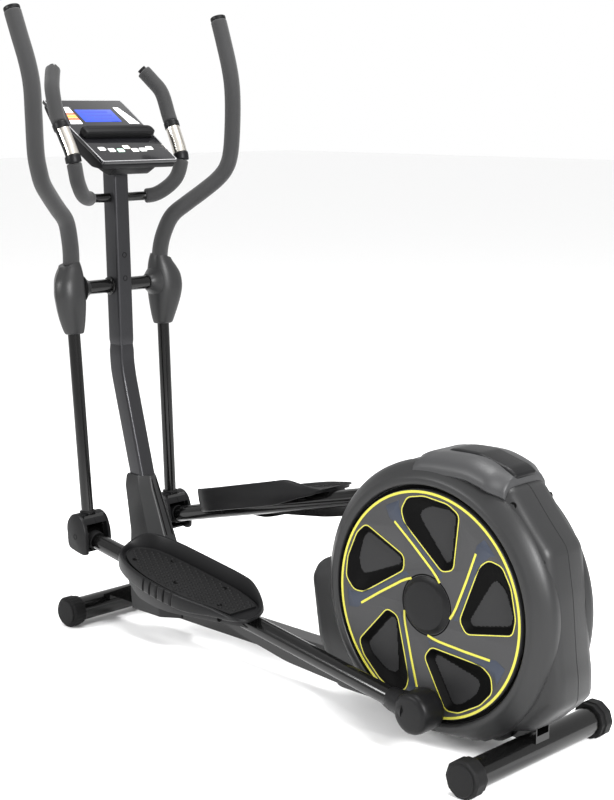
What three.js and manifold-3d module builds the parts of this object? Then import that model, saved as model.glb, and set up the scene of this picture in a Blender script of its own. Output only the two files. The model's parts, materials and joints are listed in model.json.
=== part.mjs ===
// Rear-drive elliptical trainer, as an assembly of separate pieces.
// Millimetres. +X points to the rear (from the console to the drive housing), +Z up, floor at Z = 0,
// and -Y is the user's left. The origin is on the floor under the middle of the machine.
import * as THREE from 'three';
import { mergeVertices } from 'three/addons/utils/BufferGeometryUtils.js';
import Module from 'manifold-3d';

const wasm = await Module();
wasm.setup();

// ---------------------------------------------------------------- driving dimensions
const GAP = 0.3;                              // clearance between touching pieces
const ARM_PIVOT = { x: -632, z: 867 };        // cross axle that carries both swing arms
const CRANK_AXIS = { x: 455.5, z: 311.5 };    // crank axle
const ARM_LENGTH = 606;                       // cross axle to rail pivot
const RAIL_LENGTH = 1071;                     // rail pivot to crank pin
const CRANK_RADIUS = 208;
const CRANK_ANGLE = THREE.MathUtils.degToRad(6.2);   // left pin, measured from straight down towards +X
const ARM_Y = 143;                            // plane of arms and rails, each side of the middle
const DISC_RADIUS = 237;
const FLOOR_TUBE = { r: 30, z: 39 };          // stabilizer tubes and the height of their centre
const FRONT_TUBE = { x: -699, half: 136 };
const REAR_TUBE = { x: 658.5, half: 233 };
// end caps: radius, length and how far they cover the tube
const CAP = { r: 39, depth: 42, overlap: 24 };
const POST = { depth: 48, width: 44, wall: 2.5, top: 1192 };
const BEAM = { z0: 70, z1: 120, width: 44 };
const WALL = 3;                               // moulded shells
const TUBE_WALL = 2.5;                        // round steel tubes

// ---------------------------------------------------------------- solids
function toSolid(geometry) {
  const source = geometry.index ? geometry.toNonIndexed() : geometry.clone();
  for (const name of Object.keys(source.attributes)) {
    if (name !== 'position') source.deleteAttribute(name);
  }
  const merged = mergeVertices(source, 1e-4);
  const index = merged.index.array;
  const kept = [];
  for (let i = 0; i < index.length; i += 3) {
    const [a, b, c] = [index[i], index[i + 1], index[i + 2]];
    if (a !== b && b !== c && a !== c) kept.push(a, b, c);
  }
  const position = new Float32Array(merged.attributes.position.array);
  const make = (triangles) => new wasm.Manifold(new wasm.Mesh({
    numProp: 3, vertProperties: position, triVerts: new Uint32Array(triangles),
  }));
  const solid = make(kept);
  if (solid.volume() > 0) return solid;
  const flipped = [];
  for (let i = 0; i < kept.length; i += 3) flipped.push(kept[i], kept[i + 2], kept[i + 1]);
  return make(flipped);
}

function toGeometry(solid) {
  const mesh = solid.getMesh();
  const geometry = new THREE.BufferGeometry();
  geometry.setAttribute('position', new THREE.BufferAttribute(new Float32Array(mesh.vertProperties), 3));
  geometry.setIndex(new THREE.BufferAttribute(new Uint32Array(mesh.triVerts), 1));
  return geometry;
}

const join = (first, ...others) => others.reduce((sum, solid) => sum.add(solid), first);
const cut = (first, ...tools) => tools.reduce((rest, tool) => rest.subtract(tool), first);

function box(x0, x1, y0, y1, z0, z1) {
  const geometry = new THREE.BoxGeometry(x1 - x0, y1 - y0, z1 - z0);
  geometry.translate((x0 + x1) / 2, (y0 + y1) / 2, (z0 + z1) / 2);
  return toSolid(geometry);
}

// a body of revolution about the line along Y through (x, z); profile is [radius, y] pairs
function turned(profile, x = 0, z = 0, segments = 16) {
  const points = profile.map(([r, y]) => new THREE.Vector2(r, y));
  const geometry = new THREE.LatheGeometry(points, segments);
  geometry.translate(x, 0, z);
  return toSolid(geometry);
}

function rod(r, y0, y1, x = 0, z = 0, segments = 16) {
  return turned([[0, y0], [r, y0], [r, y1], [0, y1]], x, z, segments);
}

// a plate whose outline lies in the XZ plane, between y0 and y1
function plate(outline, y0, y1) {
  const shape = outline instanceof THREE.Shape
    ? outline : new THREE.Shape(outline.map(([x, z]) => new THREE.Vector2(x, z)));
  const geometry = new THREE.ExtrudeGeometry(shape,
    { depth: y1 - y0, bevelEnabled: false, curveSegments: 3 });
  geometry.rotateX(Math.PI / 2);
  geometry.translate(0, y1, 0);
  return toSolid(geometry);
}

// a plate whose outline lies in the XY plane, between z0 and z1
function slab(outline, z0, z1) {
  const shape = outline instanceof THREE.Shape
    ? outline : new THREE.Shape(outline.map(([x, y]) => new THREE.Vector2(x, y)));
  const geometry = new THREE.ExtrudeGeometry(shape,
    { depth: z1 - z0, bevelEnabled: false, curveSegments: 3 });
  geometry.translate(0, 0, z0);
  return toSolid(geometry);
}

function ringShape(r, hole, sides) {
  const corner = (radius, i) => new THREE.Vector2(
    radius * Math.cos((2 * Math.PI * i) / sides), radius * Math.sin((2 * Math.PI * i) / sides));
  const corners = (radius) => Array.from({ length: sides }, (_, i) => corner(radius, i));
  const shape = new THREE.Shape(corners(r));
  if (hole) shape.holes.push(new THREE.Path(corners(hole)));
  return shape;
}

// a round bar or tube along a smooth curve
function bentTube(curve, r, hole = 0, steps = 16, sides = 8) {
  const geometry = new THREE.ExtrudeGeometry(ringShape(r, hole, sides), { steps, extrudePath: curve });
  return toSolid(geometry);
}

function straightTube(from, to, r, hole = 0, sides = 12) {
  return bentTube(new THREE.LineCurve3(from, to), r, hole, 1, sides);
}

// the part of a curve between two fractions of its length, as a curve of its own
function stretch(curve, from, to, count = 16) {
  const points = Array.from({ length: count + 1 },
    (_, i) => curve.getPointAt(from + ((to - from) * i) / count));
  return new THREE.CatmullRomCurve3(points);
}

function roundedRect(x0, x1, y0, y1, r) {
  const shape = new THREE.Shape();
  shape.moveTo(x0 + r, y0);
  shape.lineTo(x1 - r, y0);
  shape.absarc(x1 - r, y0 + r, r, -Math.PI / 2, 0);
  shape.lineTo(x1, y1 - r);
  shape.absarc(x1 - r, y1 - r, r, 0, Math.PI / 2);
  shape.lineTo(x0 + r, y1);
  shape.absarc(x0 + r, y1 - r, r, Math.PI / 2, Math.PI);
  shape.lineTo(x0, y0 + r);
  shape.absarc(x0 + r, y0 + r, r, Math.PI, 1.5 * Math.PI);
  return shape;
}

// moves each corner of a closed outline inwards by t
function inset(outline, t) {
  const area = outline.reduce((sum, [x, z], i) => {
    const [nx, nz] = outline[(i + 1) % outline.length];
    return sum + x * nz - nx * z;
  }, 0);
  const side = Math.sign(area);
  return outline.map((corner, i) => {
    const before = new THREE.Vector2(...outline[(i + outline.length - 1) % outline.length]);
    const here = new THREE.Vector2(...corner);
    const after = new THREE.Vector2(...outline[(i + 1) % outline.length]);
    const a = here.clone().sub(before).normalize();
    const b = after.clone().sub(here).normalize();
    const normal = new THREE.Vector2(-(a.y + b.y), a.x + b.x).normalize();
    const reach = t / Math.max(0.4, normal.dot(new THREE.Vector2(-a.y, a.x)));
    return here.add(normal.multiplyScalar(side * reach)).toArray();
  });
}

// ---------------------------------------------------------------- materials and assembly
const charcoal = { color: 0x2e2e30, roughness: 0.55, metalness: 0.1 };
const gloss = { color: 0x101012, roughness: 0.22, metalness: 0.4 };
const graphite = { color: 0x3a3a3c, roughness: 0.35, metalness: 0.6 };
const foam = { color: 0x3b3b3c, roughness: 0.9, metalness: 0 };
const steel = { color: 0xb8b6b0, roughness: 0.3, metalness: 1 };
const rubber = { color: 0x1c1c1d, roughness: 0.85, metalness: 0 };
const silverGrey = { color: 0x5a5a5c, roughness: 0.45, metalness: 0.5 };
const blackPanel = { color: 0x0c0c0d, roughness: 0.2, metalness: 0 };
const blueGlass = { color: 0x1d3fb0, roughness: 0.1, metalness: 0 };
const whiteKey = { color: 0xe8e8e4, roughness: 0.5, metalness: 0 };

const trainer = new THREE.Group();
function add(name, solid, material, parent = trainer) {
  const mesh = new THREE.Mesh(toGeometry(solid), new THREE.MeshStandardMaterial(material));
  mesh.name = name;
  parent.add(mesh);
}

const SIDES = [['left', -1], ['right', 1]];
const span = (side, near, far) => (side < 0 ? [-far, -near] : [near, far]);

// ---------------------------------------------------------------- linkage geometry
// the front pivot of a rail: where circles about the cross axle and about the crank pin meet
const circleMeet = (pin) => {
  const dx = pin.x - ARM_PIVOT.x;
  const dz = pin.z - ARM_PIVOT.z;
  const d = Math.hypot(dx, dz);
  const along = (d * d + ARM_LENGTH ** 2 - RAIL_LENGTH ** 2) / (2 * d);
  const off = Math.sqrt(ARM_LENGTH ** 2 - along ** 2);
  return { x: ARM_PIVOT.x + (dx * along + dz * off) / d, z: ARM_PIVOT.z + (dz * along - dx * off) / d };
};
function linkage(side) {
  const angle = side < 0 ? CRANK_ANGLE : CRANK_ANGLE + Math.PI;
  const pin = {
    x: CRANK_AXIS.x + CRANK_RADIUS * Math.sin(angle), z: CRANK_AXIS.z - CRANK_RADIUS * Math.cos(angle),
  };
  const heel = circleMeet(pin);
  return {
    pin, heel,
    armTilt: Math.atan2(heel.x - ARM_PIVOT.x, ARM_PIVOT.z - heel.z),
    railTilt: Math.atan2(pin.z - heel.z, pin.x - heel.x),
  };
}

// ---------------------------------------------------------------- base frame
// the beam's front end slopes down to the back of the front stabilizer
const beamEnd = { tip: FRONT_TUBE.x + 14, tipTop: 66, slopeEnd: -560, rear: REAR_TUBE.x + 24 };
const saddle = (x) => rod(FLOOR_TUBE.r + GAP, -60, 60, x, FLOOR_TUBE.z, 20);
const beamOutline = [[beamEnd.tip, BEAM.z0 - 12], [beamEnd.rear, BEAM.z0 - 12], [beamEnd.rear, BEAM.z1],
  [beamEnd.slopeEnd, BEAM.z1], [beamEnd.tip, beamEnd.tipTop]];
const beamOuter = plate(beamOutline, -BEAM.width / 2, BEAM.width / 2);
const beamInner = box(beamEnd.slopeEnd + 4, beamEnd.rear + 10, -BEAM.width / 2 + WALL,
  BEAM.width / 2 - WALL, BEAM.z0 + WALL, BEAM.z1 - WALL);
const beamRelief = box(FRONT_TUBE.x + 40, REAR_TUBE.x - 40, -60, 60, 0, BEAM.z0);
const beam = cut(beamOuter, beamInner, beamRelief, saddle(FRONT_TUBE.x), saddle(REAR_TUBE.x));

function stabilizer(tube) {
  const end = tube.half - CAP.depth + CAP.overlap;
  const bore = FLOOR_TUBE.r - TUBE_WALL;
  const profile = [[bore, -end], [FLOOR_TUBE.r, -end], [FLOOR_TUBE.r, end], [bore, end], [bore, -end]];
  return turned(profile, tube.x, FLOOR_TUBE.z, 20);
}
add('front_stabilizer', stabilizer(FRONT_TUBE), gloss);
add('rear_stabilizer', stabilizer(REAR_TUBE), gloss);

function endCap(tube, side, sides) {
  const inner = tube.half - CAP.depth;
  const mouth = inner + CAP.overlap + GAP;
  const r = CAP.r / Math.cos(Math.PI / sides);
  const bore = (FLOOR_TUBE.r + GAP) / Math.cos(Math.PI / sides);
  const profile = [[bore, inner], [r - 4, inner], [r, inner + 4], [r, tube.half - 8], [r - 9, tube.half],
    [0, tube.half], [0, mouth], [bore, mouth], [bore, inner]];
  const geometry = new THREE.LatheGeometry(profile.map(([a, y]) => new THREE.Vector2(a, side * y)), sides);
  geometry.rotateY(Math.PI / sides);
  geometry.translate(tube.x, 0, FLOOR_TUBE.z);
  return toSolid(geometry);
}
for (const [label, side] of SIDES) {
  add(`front_roller_${label}`, endCap(FRONT_TUBE, side, 16), rubber);
  add(`rear_leveler_${label}`, endCap(REAR_TUBE, side, 10), rubber);
}

// ---------------------------------------------------------------- post, boot and cross axle
const BEND_Z = 665;
const SLEEVE_Z = 722;
const postX = (z) => (z > BEND_Z ? -617.7 - (z - BEND_Z) * 0.027 : -617.7 + (BEND_Z - z) * 0.27);
function postOutline(z0, z1, grow = 0) {
  const half = (z) => (z > BEND_Z ? POST.depth / 2 : (POST.depth / 2) * 1.035) + grow;
  const bend = [BEND_Z - 25, BEND_Z, BEND_Z + 25].filter((z) => z > z0 && z < z1);
  const levels = [z0, ...bend, z1];
  return [...levels.map((z) => [postX(z) + half(z), z]),
    ...levels.reverse().map((z) => [postX(z) - half(z), z])];
}
const AXLE_HOLE = 9.3;
const BAR = { x: -629, z: 1082, r: 11, hole: 14 };    // cross tube of the fixed handlebar
function postTube(z0, z1) {
  const w = POST.width / 2;
  return cut(plate(postOutline(z0, z1), -w, w),
    plate(postOutline(z0 - 5, z1 + 5, -POST.wall), -w + POST.wall, w - POST.wall));
}
add('lower_post', postTube(BEAM.z1 + GAP, SLEEVE_Z - GAP), graphite);
add('upper_post', cut(postTube(SLEEVE_Z, POST.top),
  rod(AXLE_HOLE, -60, 60, ARM_PIVOT.x, ARM_PIVOT.z), rod(BAR.hole + GAP, -60, 60, BAR.x, BAR.z)), graphite);

// the boot: a tapered cover round the foot of the post
const BOOT_TOP = 405;
function boot() {
  const at = (z, front, rear, half) => ({ z, front, rear, half });
  const rings = [at(BEAM.z0 + 2, -532, -378, 56), at(150, -541, -405, 52), at(265, -550, -446, 40),
    at(375, -578, -495, 32), at(BOOT_TOP, -578, -504, 28)];
  const outline = (grow) => [...rings.map((r) => [r.rear + grow, r.z]),
    ...rings.slice().reverse().map((r) => [r.front - grow, r.z])];
  const sideCut = (grow) => {
    const right = rings.map((r) => [r.half + grow, r.z]);
    const left = rings.slice().reverse().map((r) => [-r.half - grow, r.z]);
    const shape = new THREE.Shape([...right, ...left].map(([y, z]) => new THREE.Vector2(y, z)));
    const geometry = new THREE.ExtrudeGeometry(shape, { depth: 400, bevelEnabled: false });
    geometry.rotateX(Math.PI / 2);
    geometry.rotateZ(Math.PI / 2);
    geometry.translate(-700, 0, 0);
    return toSolid(geometry);
  };
  const full = plate(outline(0), -80, 80).intersect(sideCut(0));
  const hollow = plate(outline(-WALL), -80, 80).intersect(sideCut(-WALL));
  const floor = box(-800, -200, -100, 100, 0, BEAM.z0 + 6);
  const beamHole = box(-800, -200, -BEAM.width / 2 - GAP, BEAM.width / 2 + GAP, 0, BEAM.z1 + GAP);
  const postHole = plate(postOutline(300, 500, GAP), -POST.width / 2 - GAP, POST.width / 2 + GAP);
  const low = box(-800, -200, -100, 100, 0, BEAM.z1 + 1);
  return cut(full, hollow.subtract(box(-800, -200, -100, 100, BOOT_TOP - 6, 500)), hollow.intersect(low),
    floor, beamHole, postHole);
}
add('post_boot', boot(), charcoal);

const AXLE_R = 17;
const axleEnd = ARM_Y + 34;
add('cross_axle', turned([[0, -axleEnd], [12, -axleEnd], [12, -110], [AXLE_R, -110],
  [AXLE_R, -POST.width / 2 - GAP],
  [9, -POST.width / 2 - GAP], [9, POST.width / 2 + GAP], [AXLE_R, POST.width / 2 + GAP], [AXLE_R, 110],
  [12, 110],
  [12, axleEnd], [0, axleEnd]], ARM_PIVOT.x, ARM_PIVOT.z), gloss);

// ---------------------------------------------------------------- fixed handlebar
function fixedBarCurve(side) {
  const p = (x, y, z) => new THREE.Vector3(x, side * y, z);
  return new THREE.CatmullRomCurve3([
    p(BAR.x, 0, BAR.z), p(BAR.x, 62, BAR.z), p(-608, 112, 1088), p(-583, 150, 1122), p(-576, 165, 1165),
    p(-584, 167, 1195), p(-606, 170, 1236), p(-628, 172, 1277), p(-649, 168, 1333), p(-669, 153, 1364),
    p(-688, 135, 1392),
  ], false, 'centripetal');
}
const barCurves = SIDES.map(([, side]) => fixedBarCurve(side));
const wholeBar = new THREE.CatmullRomCurve3([
  ...Array.from({ length: 25 }, (_, i) => barCurves[0].getPointAt(1 - i / 25)),
  new THREE.Vector3(BAR.x, 0, BAR.z),
  ...Array.from({ length: 25 }, (_, i) => barCurves[1].getPointAt((i + 1) / 25)),
]);
add('fixed_handlebar', bentTube(wholeBar, BAR.r, 0, 34), gloss);
// stretches of the bar under each sleeve, as fractions of its length from the middle, and the sleeves' radii
const GRIP = { lower: [0.18, 0.466], sensor: [0.48, 0.672], upper: [0.68, 0.985], foam: 18, plate: 17,
  bore: 13.4 };
for (const [label, side] of SIDES) {
  const curve = barCurves[side < 0 ? 0 : 1];
  add(`fixed_grip_lower_${label}`, bentTube(stretch(curve, ...GRIP.lower, 12), GRIP.foam, GRIP.bore, 8),
    foam);
  add(`pulse_sensor_${label}`, bentTube(stretch(curve, ...GRIP.sensor, 4), GRIP.plate, GRIP.bore, 3),
    steel);
  add(`fixed_grip_upper_${label}`, bentTube(stretch(curve, ...GRIP.upper, 10), GRIP.foam, GRIP.bore, 6),
    foam);
}

// ---------------------------------------------------------------- console
// built flat (X down the panel, Y across, Z out of it) and then tilted into place
const PANEL = { x: -754, z: 1316, length: 266, top: 121, bottom: 116, thick: 8,
  tilt: THREE.MathUtils.degToRad(32.6) };
const consoleGroup = new THREE.Group();
consoleGroup.position.set(PANEL.x, 0, PANEL.z);
consoleGroup.rotation.y = PANEL.tilt;
trainer.add(consoleGroup);

const panelOutline = [[0, -PANEL.top], [PANEL.length, -PANEL.bottom], [PANEL.length, PANEL.bottom],
  [0, PANEL.top]];
const LCD = { x0: 44, x1: 98, y0: -55, y1: 58, depth: 3 };
const KEY = { length: 13, width: 19, foot: -5, top: 1.5, well: -7.5 };
const KEYS = [[213, -84], [219, -58], [221, -32], [208, -7], [221, 12], [220, 37], [214, 61]];
const LEDGE = { x0: 141, x1: 171, half: 108 };
const pocket = (x0, x1, y0, y1, z0) => box(x0 - GAP, x1 + GAP, y0 - GAP, y1 + GAP, z0, 5);
const keySpan = ([x, y]) => [x - KEY.length / 2, x + KEY.length / 2, y - KEY.width / 2, y + KEY.width / 2];
const face = cut(slab(panelOutline, -PANEL.thick, 0),
  pocket(LCD.x0, LCD.x1, LCD.y0, LCD.y1, -LCD.depth - GAP),
  ...KEYS.map((place) => pocket(...keySpan(place), KEY.well)));
add('console_face', face, blackPanel, consoleGroup);
add('console_lcd', box(LCD.x0, LCD.x1, LCD.y0, LCD.y1, -LCD.depth, 0), blueGlass, consoleGroup);
add('tablet_ledge', slab(roundedRect(LEDGE.x0, LEDGE.x1, -LEDGE.half, LEDGE.half, 10), GAP, 20), charcoal,
  consoleGroup);
const KEY_NAMES = ['mode', 'set', 'start', 'up', 'stop', 'reset', 'recovery'];
KEYS.forEach((place, i) => {
  add(`key_${KEY_NAMES[i]}`, box(...keySpan(place), KEY.foot, KEY.top), whiteKey, consoleGroup);
});

function consoleBack() {
  const z = -PANEL.thick - GAP;
  const sideways = (points, half) => plate(points, -half, half);
  const tray = sideways([[0, z], [PANEL.length, z], [PANEL.length, z - 14], [230, z - 30], [60, z - 34],
    [2, z - 12]], 112);
  const lump = sideways([[90, z - 20], [262, z - 12], [240, z - 52], [110, z - 72]], 62);
  const body = join(tray, lump);
  const toPanel = new THREE.Matrix4().makeRotationY(-PANEL.tilt)
    .multiply(new THREE.Matrix4().makeTranslation(-PANEL.x, 0, -PANEL.z));
  const socket = new THREE.BoxGeometry(POST.depth + 6, POST.width + 2 * GAP, 200);
  socket.translate(postX(1150), 0, POST.top - 100 + GAP);
  socket.applyMatrix4(toPanel);
  return cut(body, toSolid(socket));
}
add('console_back', consoleBack(), charcoal, consoleGroup);

// ---------------------------------------------------------------- drive housing
const RIM = { r: 262, y: 97, bulge: 295, shoulder: 62, opening: 246, webY: 78 };
function housingOutline() {
  const arc = (from, to, count) => Array.from({ length: count + 1 }, (_, i) => {
    const a = THREE.MathUtils.degToRad(from + ((to - from) * i) / count);
    return [CRANK_AXIS.x + RIM.bulge * Math.cos(a), CRANK_AXIS.z + RIM.bulge * Math.sin(a)];
  });
  return [...arc(72, 172, 12), [108, 326], [90, 292], [112, 155], [150, 88], [170, 48], [618, 48],
    [626, 74], [694, 94],
    [763.3, 160], [763.3, 210], [757, 245], [744, 372], [727, 466], [681, 517], [632, 577]];
}
const outline = housingOutline();
function housing() {
  const outer = join(plate(outline, -RIM.shoulder, RIM.shoulder),
    turned([[0, -RIM.y], [RIM.r - 4, -RIM.y], [RIM.r, -RIM.y + 4], [RIM.bulge, -RIM.shoulder],
    [RIM.bulge, RIM.shoulder],
      [RIM.r, RIM.y - 4], [RIM.r - 4, RIM.y], [0, RIM.y]], CRANK_AXIS.x, CRANK_AXIS.z, 36)
      .intersect(box(-100, 800, -RIM.y, RIM.y, 48, 700)));
  const cavity = join(plate(inset(outline, WALL), -RIM.shoulder + WALL, RIM.shoulder - WALL),
    rod(RIM.r - 5, -RIM.webY + WALL, RIM.webY - WALL, CRANK_AXIS.x, CRANK_AXIS.z, 36)
      .intersect(box(-100, 800, -RIM.y, RIM.y, 48 + WALL, 700)));
  return cut(outer, cavity,
    rod(RIM.opening, RIM.webY, RIM.y + 5, CRANK_AXIS.x, CRANK_AXIS.z, 36),
    rod(RIM.opening, -RIM.y - 5, -RIM.webY, CRANK_AXIS.x, CRANK_AXIS.z, 36),
    rod(40, -200, 200, CRANK_AXIS.x, CRANK_AXIS.z),
    box(0, 800, -BEAM.width / 2 - GAP, BEAM.width / 2 + GAP, 0, BEAM.z1 + GAP),
    rod(FLOOR_TUBE.r + 1, -200, 200, REAR_TUBE.x, FLOOR_TUBE.z, 24));
}
const COVER = { x0: 392, x1: 650, split: 563, half: 58 };
const coverSpace = box(COVER.x0, COVER.x1, -120, 120, COVER.split, 700);
const shell = housing().subtract(coverSpace);
for (const [label, side] of SIDES) {
  const [y0, y1] = span(side, 0.15, 200);
  add(`shell_${label}`, shell.intersect(box(-100, 900, y0, y1, 0, 700)), charcoal);
}
const coverOutline = (t) => [[COVER.x0 + GAP + t, COVER.split + GAP - (t ? 10 : 0)],
  [COVER.x0 + GAP + t, 600 - t],
  [430, 618 - t], [470, 625 - t], [535, 625 - t], [612, 604 - t], [COVER.x1 - GAP - t, 582 - t],
  [COVER.x1 - GAP - t, COVER.split + GAP - (t ? 10 : 0)]];
add('shell_top_cover', cut(plate(coverOutline(0), -COVER.half, COVER.half),
  plate(coverOutline(WALL), -COVER.half + WALL, COVER.half - WALL)), silverGrey);

// ---------------------------------------------------------------- drive inside the housing
const FLYWHEEL = { x: 220, z: 230, r: 100 };
const SHEAVE = { big: 140, small: 20, y0: 15, y1: 33 };
const BRACKET = { y0: 40, y1: 46 };
function bracketSide(y0, y1) {
  return cut(plate([[150, BEAM.z1 + GAP], [560, BEAM.z1 + GAP], [500, 330], [455, 345], [410, 330],
    [390, 205],
    [262, 180], [250, 250], [220, 262], [190, 250], [175, 180]], y0, y1),
  rod(15.4, -90, 90, CRANK_AXIS.x, CRANK_AXIS.z), rod(8.2, -90, 90, FLYWHEEL.x, FLYWHEEL.z));
}
add('base_frame', join(beam, bracketSide(-BRACKET.y1, -BRACKET.y0), bracketSide(BRACKET.y0, BRACKET.y1),
  box(330, 560, -BRACKET.y1, BRACKET.y1, BEAM.z1 - 1, BEAM.z1 + 6)), gloss);

const DISC = { y0: 86, y1: 95, boss: 103 };
const axleReach = 104;
add('crank_axle', turned([[0, -axleReach], [9, -axleReach], [9, -52], [14.9, -52], [14.9, 52], [9, 52],
  [9, axleReach],
  [0, axleReach]], CRANK_AXIS.x, CRANK_AXIS.z), steel);
add('crank_pulley', turned([[15.2, SHEAVE.y0 - 2], [SHEAVE.big + 3, SHEAVE.y0 - 2],
  [SHEAVE.big + 3, SHEAVE.y0],
  [SHEAVE.big, SHEAVE.y0], [SHEAVE.big, SHEAVE.y1], [SHEAVE.big + 3, SHEAVE.y1],
  [SHEAVE.big + 3, SHEAVE.y1 + 2],
  [15.2, SHEAVE.y1 + 2], [15.2, SHEAVE.y0 - 2]], CRANK_AXIS.x, CRANK_AXIS.z, 28), charcoal);
add('flywheel', turned([[0, -58], [7.7, -58], [7.7, -38], [FLYWHEEL.r, -38], [FLYWHEEL.r, -12], [30, -12],
  [30, 2], [23, 2],
  [23, SHEAVE.y0 - 2], [SHEAVE.small + 3, SHEAVE.y0], [SHEAVE.small, SHEAVE.y0], [SHEAVE.small, SHEAVE.y1],
  [SHEAVE.small + 3, SHEAVE.y1], [SHEAVE.small + 3, SHEAVE.y1 + 2], [7.7, SHEAVE.y1 + 2], [7.7, 58],
  [0, 58]],
FLYWHEEL.x, FLYWHEEL.z, 24), steel);

// open belt round two or three pulleys: the hull of their circles, less the same hull one belt thinner
function beltLoop(circles, grow, y0, y1) {
  const points = [];
  for (const { x, z, r } of circles) {
    for (let i = 0; i < 48; i += 1) {
      const a = (2 * Math.PI * i) / 48;
      points.push([x + (r + grow) * Math.cos(a), z + (r + grow) * Math.sin(a)]);
    }
  }
  points.sort((a, b) => a[0] - b[0] || a[1] - b[1]);
  const turn = (o, a, b) => (a[0] - o[0]) * (b[1] - o[1]) - (a[1] - o[1]) * (b[0] - o[0]);
  const half = (list) => list.reduce((chain, p) => {
    while (chain.length > 1 && turn(chain[chain.length - 2], chain[chain.length - 1], p) <= 0.5) {
      chain.pop();
    }
    chain.push(p);
    return chain;
  }, []);
  const lower = half(points);
  const upper = half(points.slice().reverse());
  return plate([...lower.slice(0, -1), ...upper.slice(0, -1)], y0, y1);
}
const IDLER = { x: 340, z: 186, r: 22 };
const beltRun = [{ ...CRANK_AXIS, r: SHEAVE.big }, { x: FLYWHEEL.x, z: FLYWHEEL.z, r: SHEAVE.small },
  IDLER];
add('drive_belt', cut(beltLoop(beltRun, 2.8, SHEAVE.y0 + 1, SHEAVE.y1 - 1),
  beltLoop(beltRun, 0.8, 0, 60)), rubber);
add('belt_idler', turned([[0, 10], [6, 10], [6, SHEAVE.y0], [IDLER.r, SHEAVE.y0], [IDLER.r, SHEAVE.y1],
  [6, SHEAVE.y1],
  [6, 39], [0, 39]], IDLER.x, IDLER.z), steel);

// curved brake arm that holds the magnets round the flywheel's rim
const BRAKE = { from: 75, to: 140, gap: 4, thick: 14 };
function brakeArc(r, from, to, count) {
  return Array.from({ length: count + 1 }, (_, i) => {
    const a = THREE.MathUtils.degToRad(from + ((to - from) * i) / count);
    return [FLYWHEEL.x + r * Math.cos(a), FLYWHEEL.z + r * Math.sin(a)];
  });
}
const brakeInner = FLYWHEEL.r + BRAKE.gap;
add('magnet_brake', plate([...brakeArc(brakeInner, BRAKE.from, BRAKE.to, 8),
  ...brakeArc(brakeInner + BRAKE.thick, BRAKE.to, BRAKE.from, 8)], -38, -12), graphite);

// ---------------------------------------------------------------- crank discs
function windowShape() {
  // rounded triangle: narrow towards the hub, wide along the rim, leaning like the blades of a fan
  const corners = [[96, -24], [196, -34], [188, 60], [150, 62]];
  const rounding = 0.18;
  const between = ([r0, t0], [r1, t1], share) => [r0 + (r1 - r0) * share, t0 + (t1 - t0) * share];
  const shape = new THREE.Shape();
  corners.forEach((corner, i) => {
    const next = corners[(i + 1) % corners.length];
    const afterNext = corners[(i + 2) % corners.length];
    if (i === 0) shape.moveTo(...between(corner, next, rounding));
    shape.lineTo(...between(corner, next, 1 - rounding));
    shape.quadraticCurveTo(...next, ...between(next, afterNext, rounding));
  });
  shape.closePath();
  return shape;
}
function crankDisc(side) {
  const base = turned([[9.3, DISC.y0], [DISC_RADIUS, DISC.y0], [DISC_RADIUS, DISC.y1 - 1],
    [DISC_RADIUS - 1, DISC.y1],
    [9.3, DISC.y1], [9.3, DISC.y0]], 0, 0, 44);
  const bossAt = side < 0 ? CRANK_ANGLE : CRANK_ANGLE + Math.PI;
  const boss = rod(24, DISC.y1 - 1, DISC.boss, CRANK_RADIUS * Math.sin(bossAt),
    -CRANK_RADIUS * Math.cos(bossAt));
  const pockets = Array.from({ length: 5 }, (_, i) => {
    const a = THREE.MathUtils.degToRad(7 + 72 * i);
    const geometry = new THREE.ExtrudeGeometry(windowShape(),
      { depth: 10, bevelEnabled: false, curveSegments: 2 });
    geometry.rotateZ(a);
    geometry.rotateX(Math.PI / 2);
    geometry.translate(0, DISC.y1 + 5, 0);
    return toSolid(geometry);
  });
  const disc = join(cut(base, ...pockets), boss);
  return (side < 0 ? disc.mirror([0, 1, 0]) : disc).translate([CRANK_AXIS.x, 0, CRANK_AXIS.z]);
}
for (const [label, side] of SIDES) {
  add(`crank_disc_${label}`, crankDisc(side), silverGrey);
  const cap = turned([[0, side * (axleReach + GAP)], [9.3, side * (axleReach + GAP)],
    [9.3, side * (DISC.y1 + GAP)],
    [60, side * (DISC.y1 + GAP)], [60, side * 104], [52, side * 107], [0, side * 107]], CRANK_AXIS.x,
    CRANK_AXIS.z, 20);
  add(`hub_cap_${label}`, cap, charcoal);
}

// ---------------------------------------------------------------- swing arms, rails and pedals
const HUB = { r: 22, half: 22 };
const FORK = { inner: 24, outer: 30, r: 32 };
const TUBE = { arm: 15, rail: 20, handle: 15.5, foam: 20 };

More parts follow.
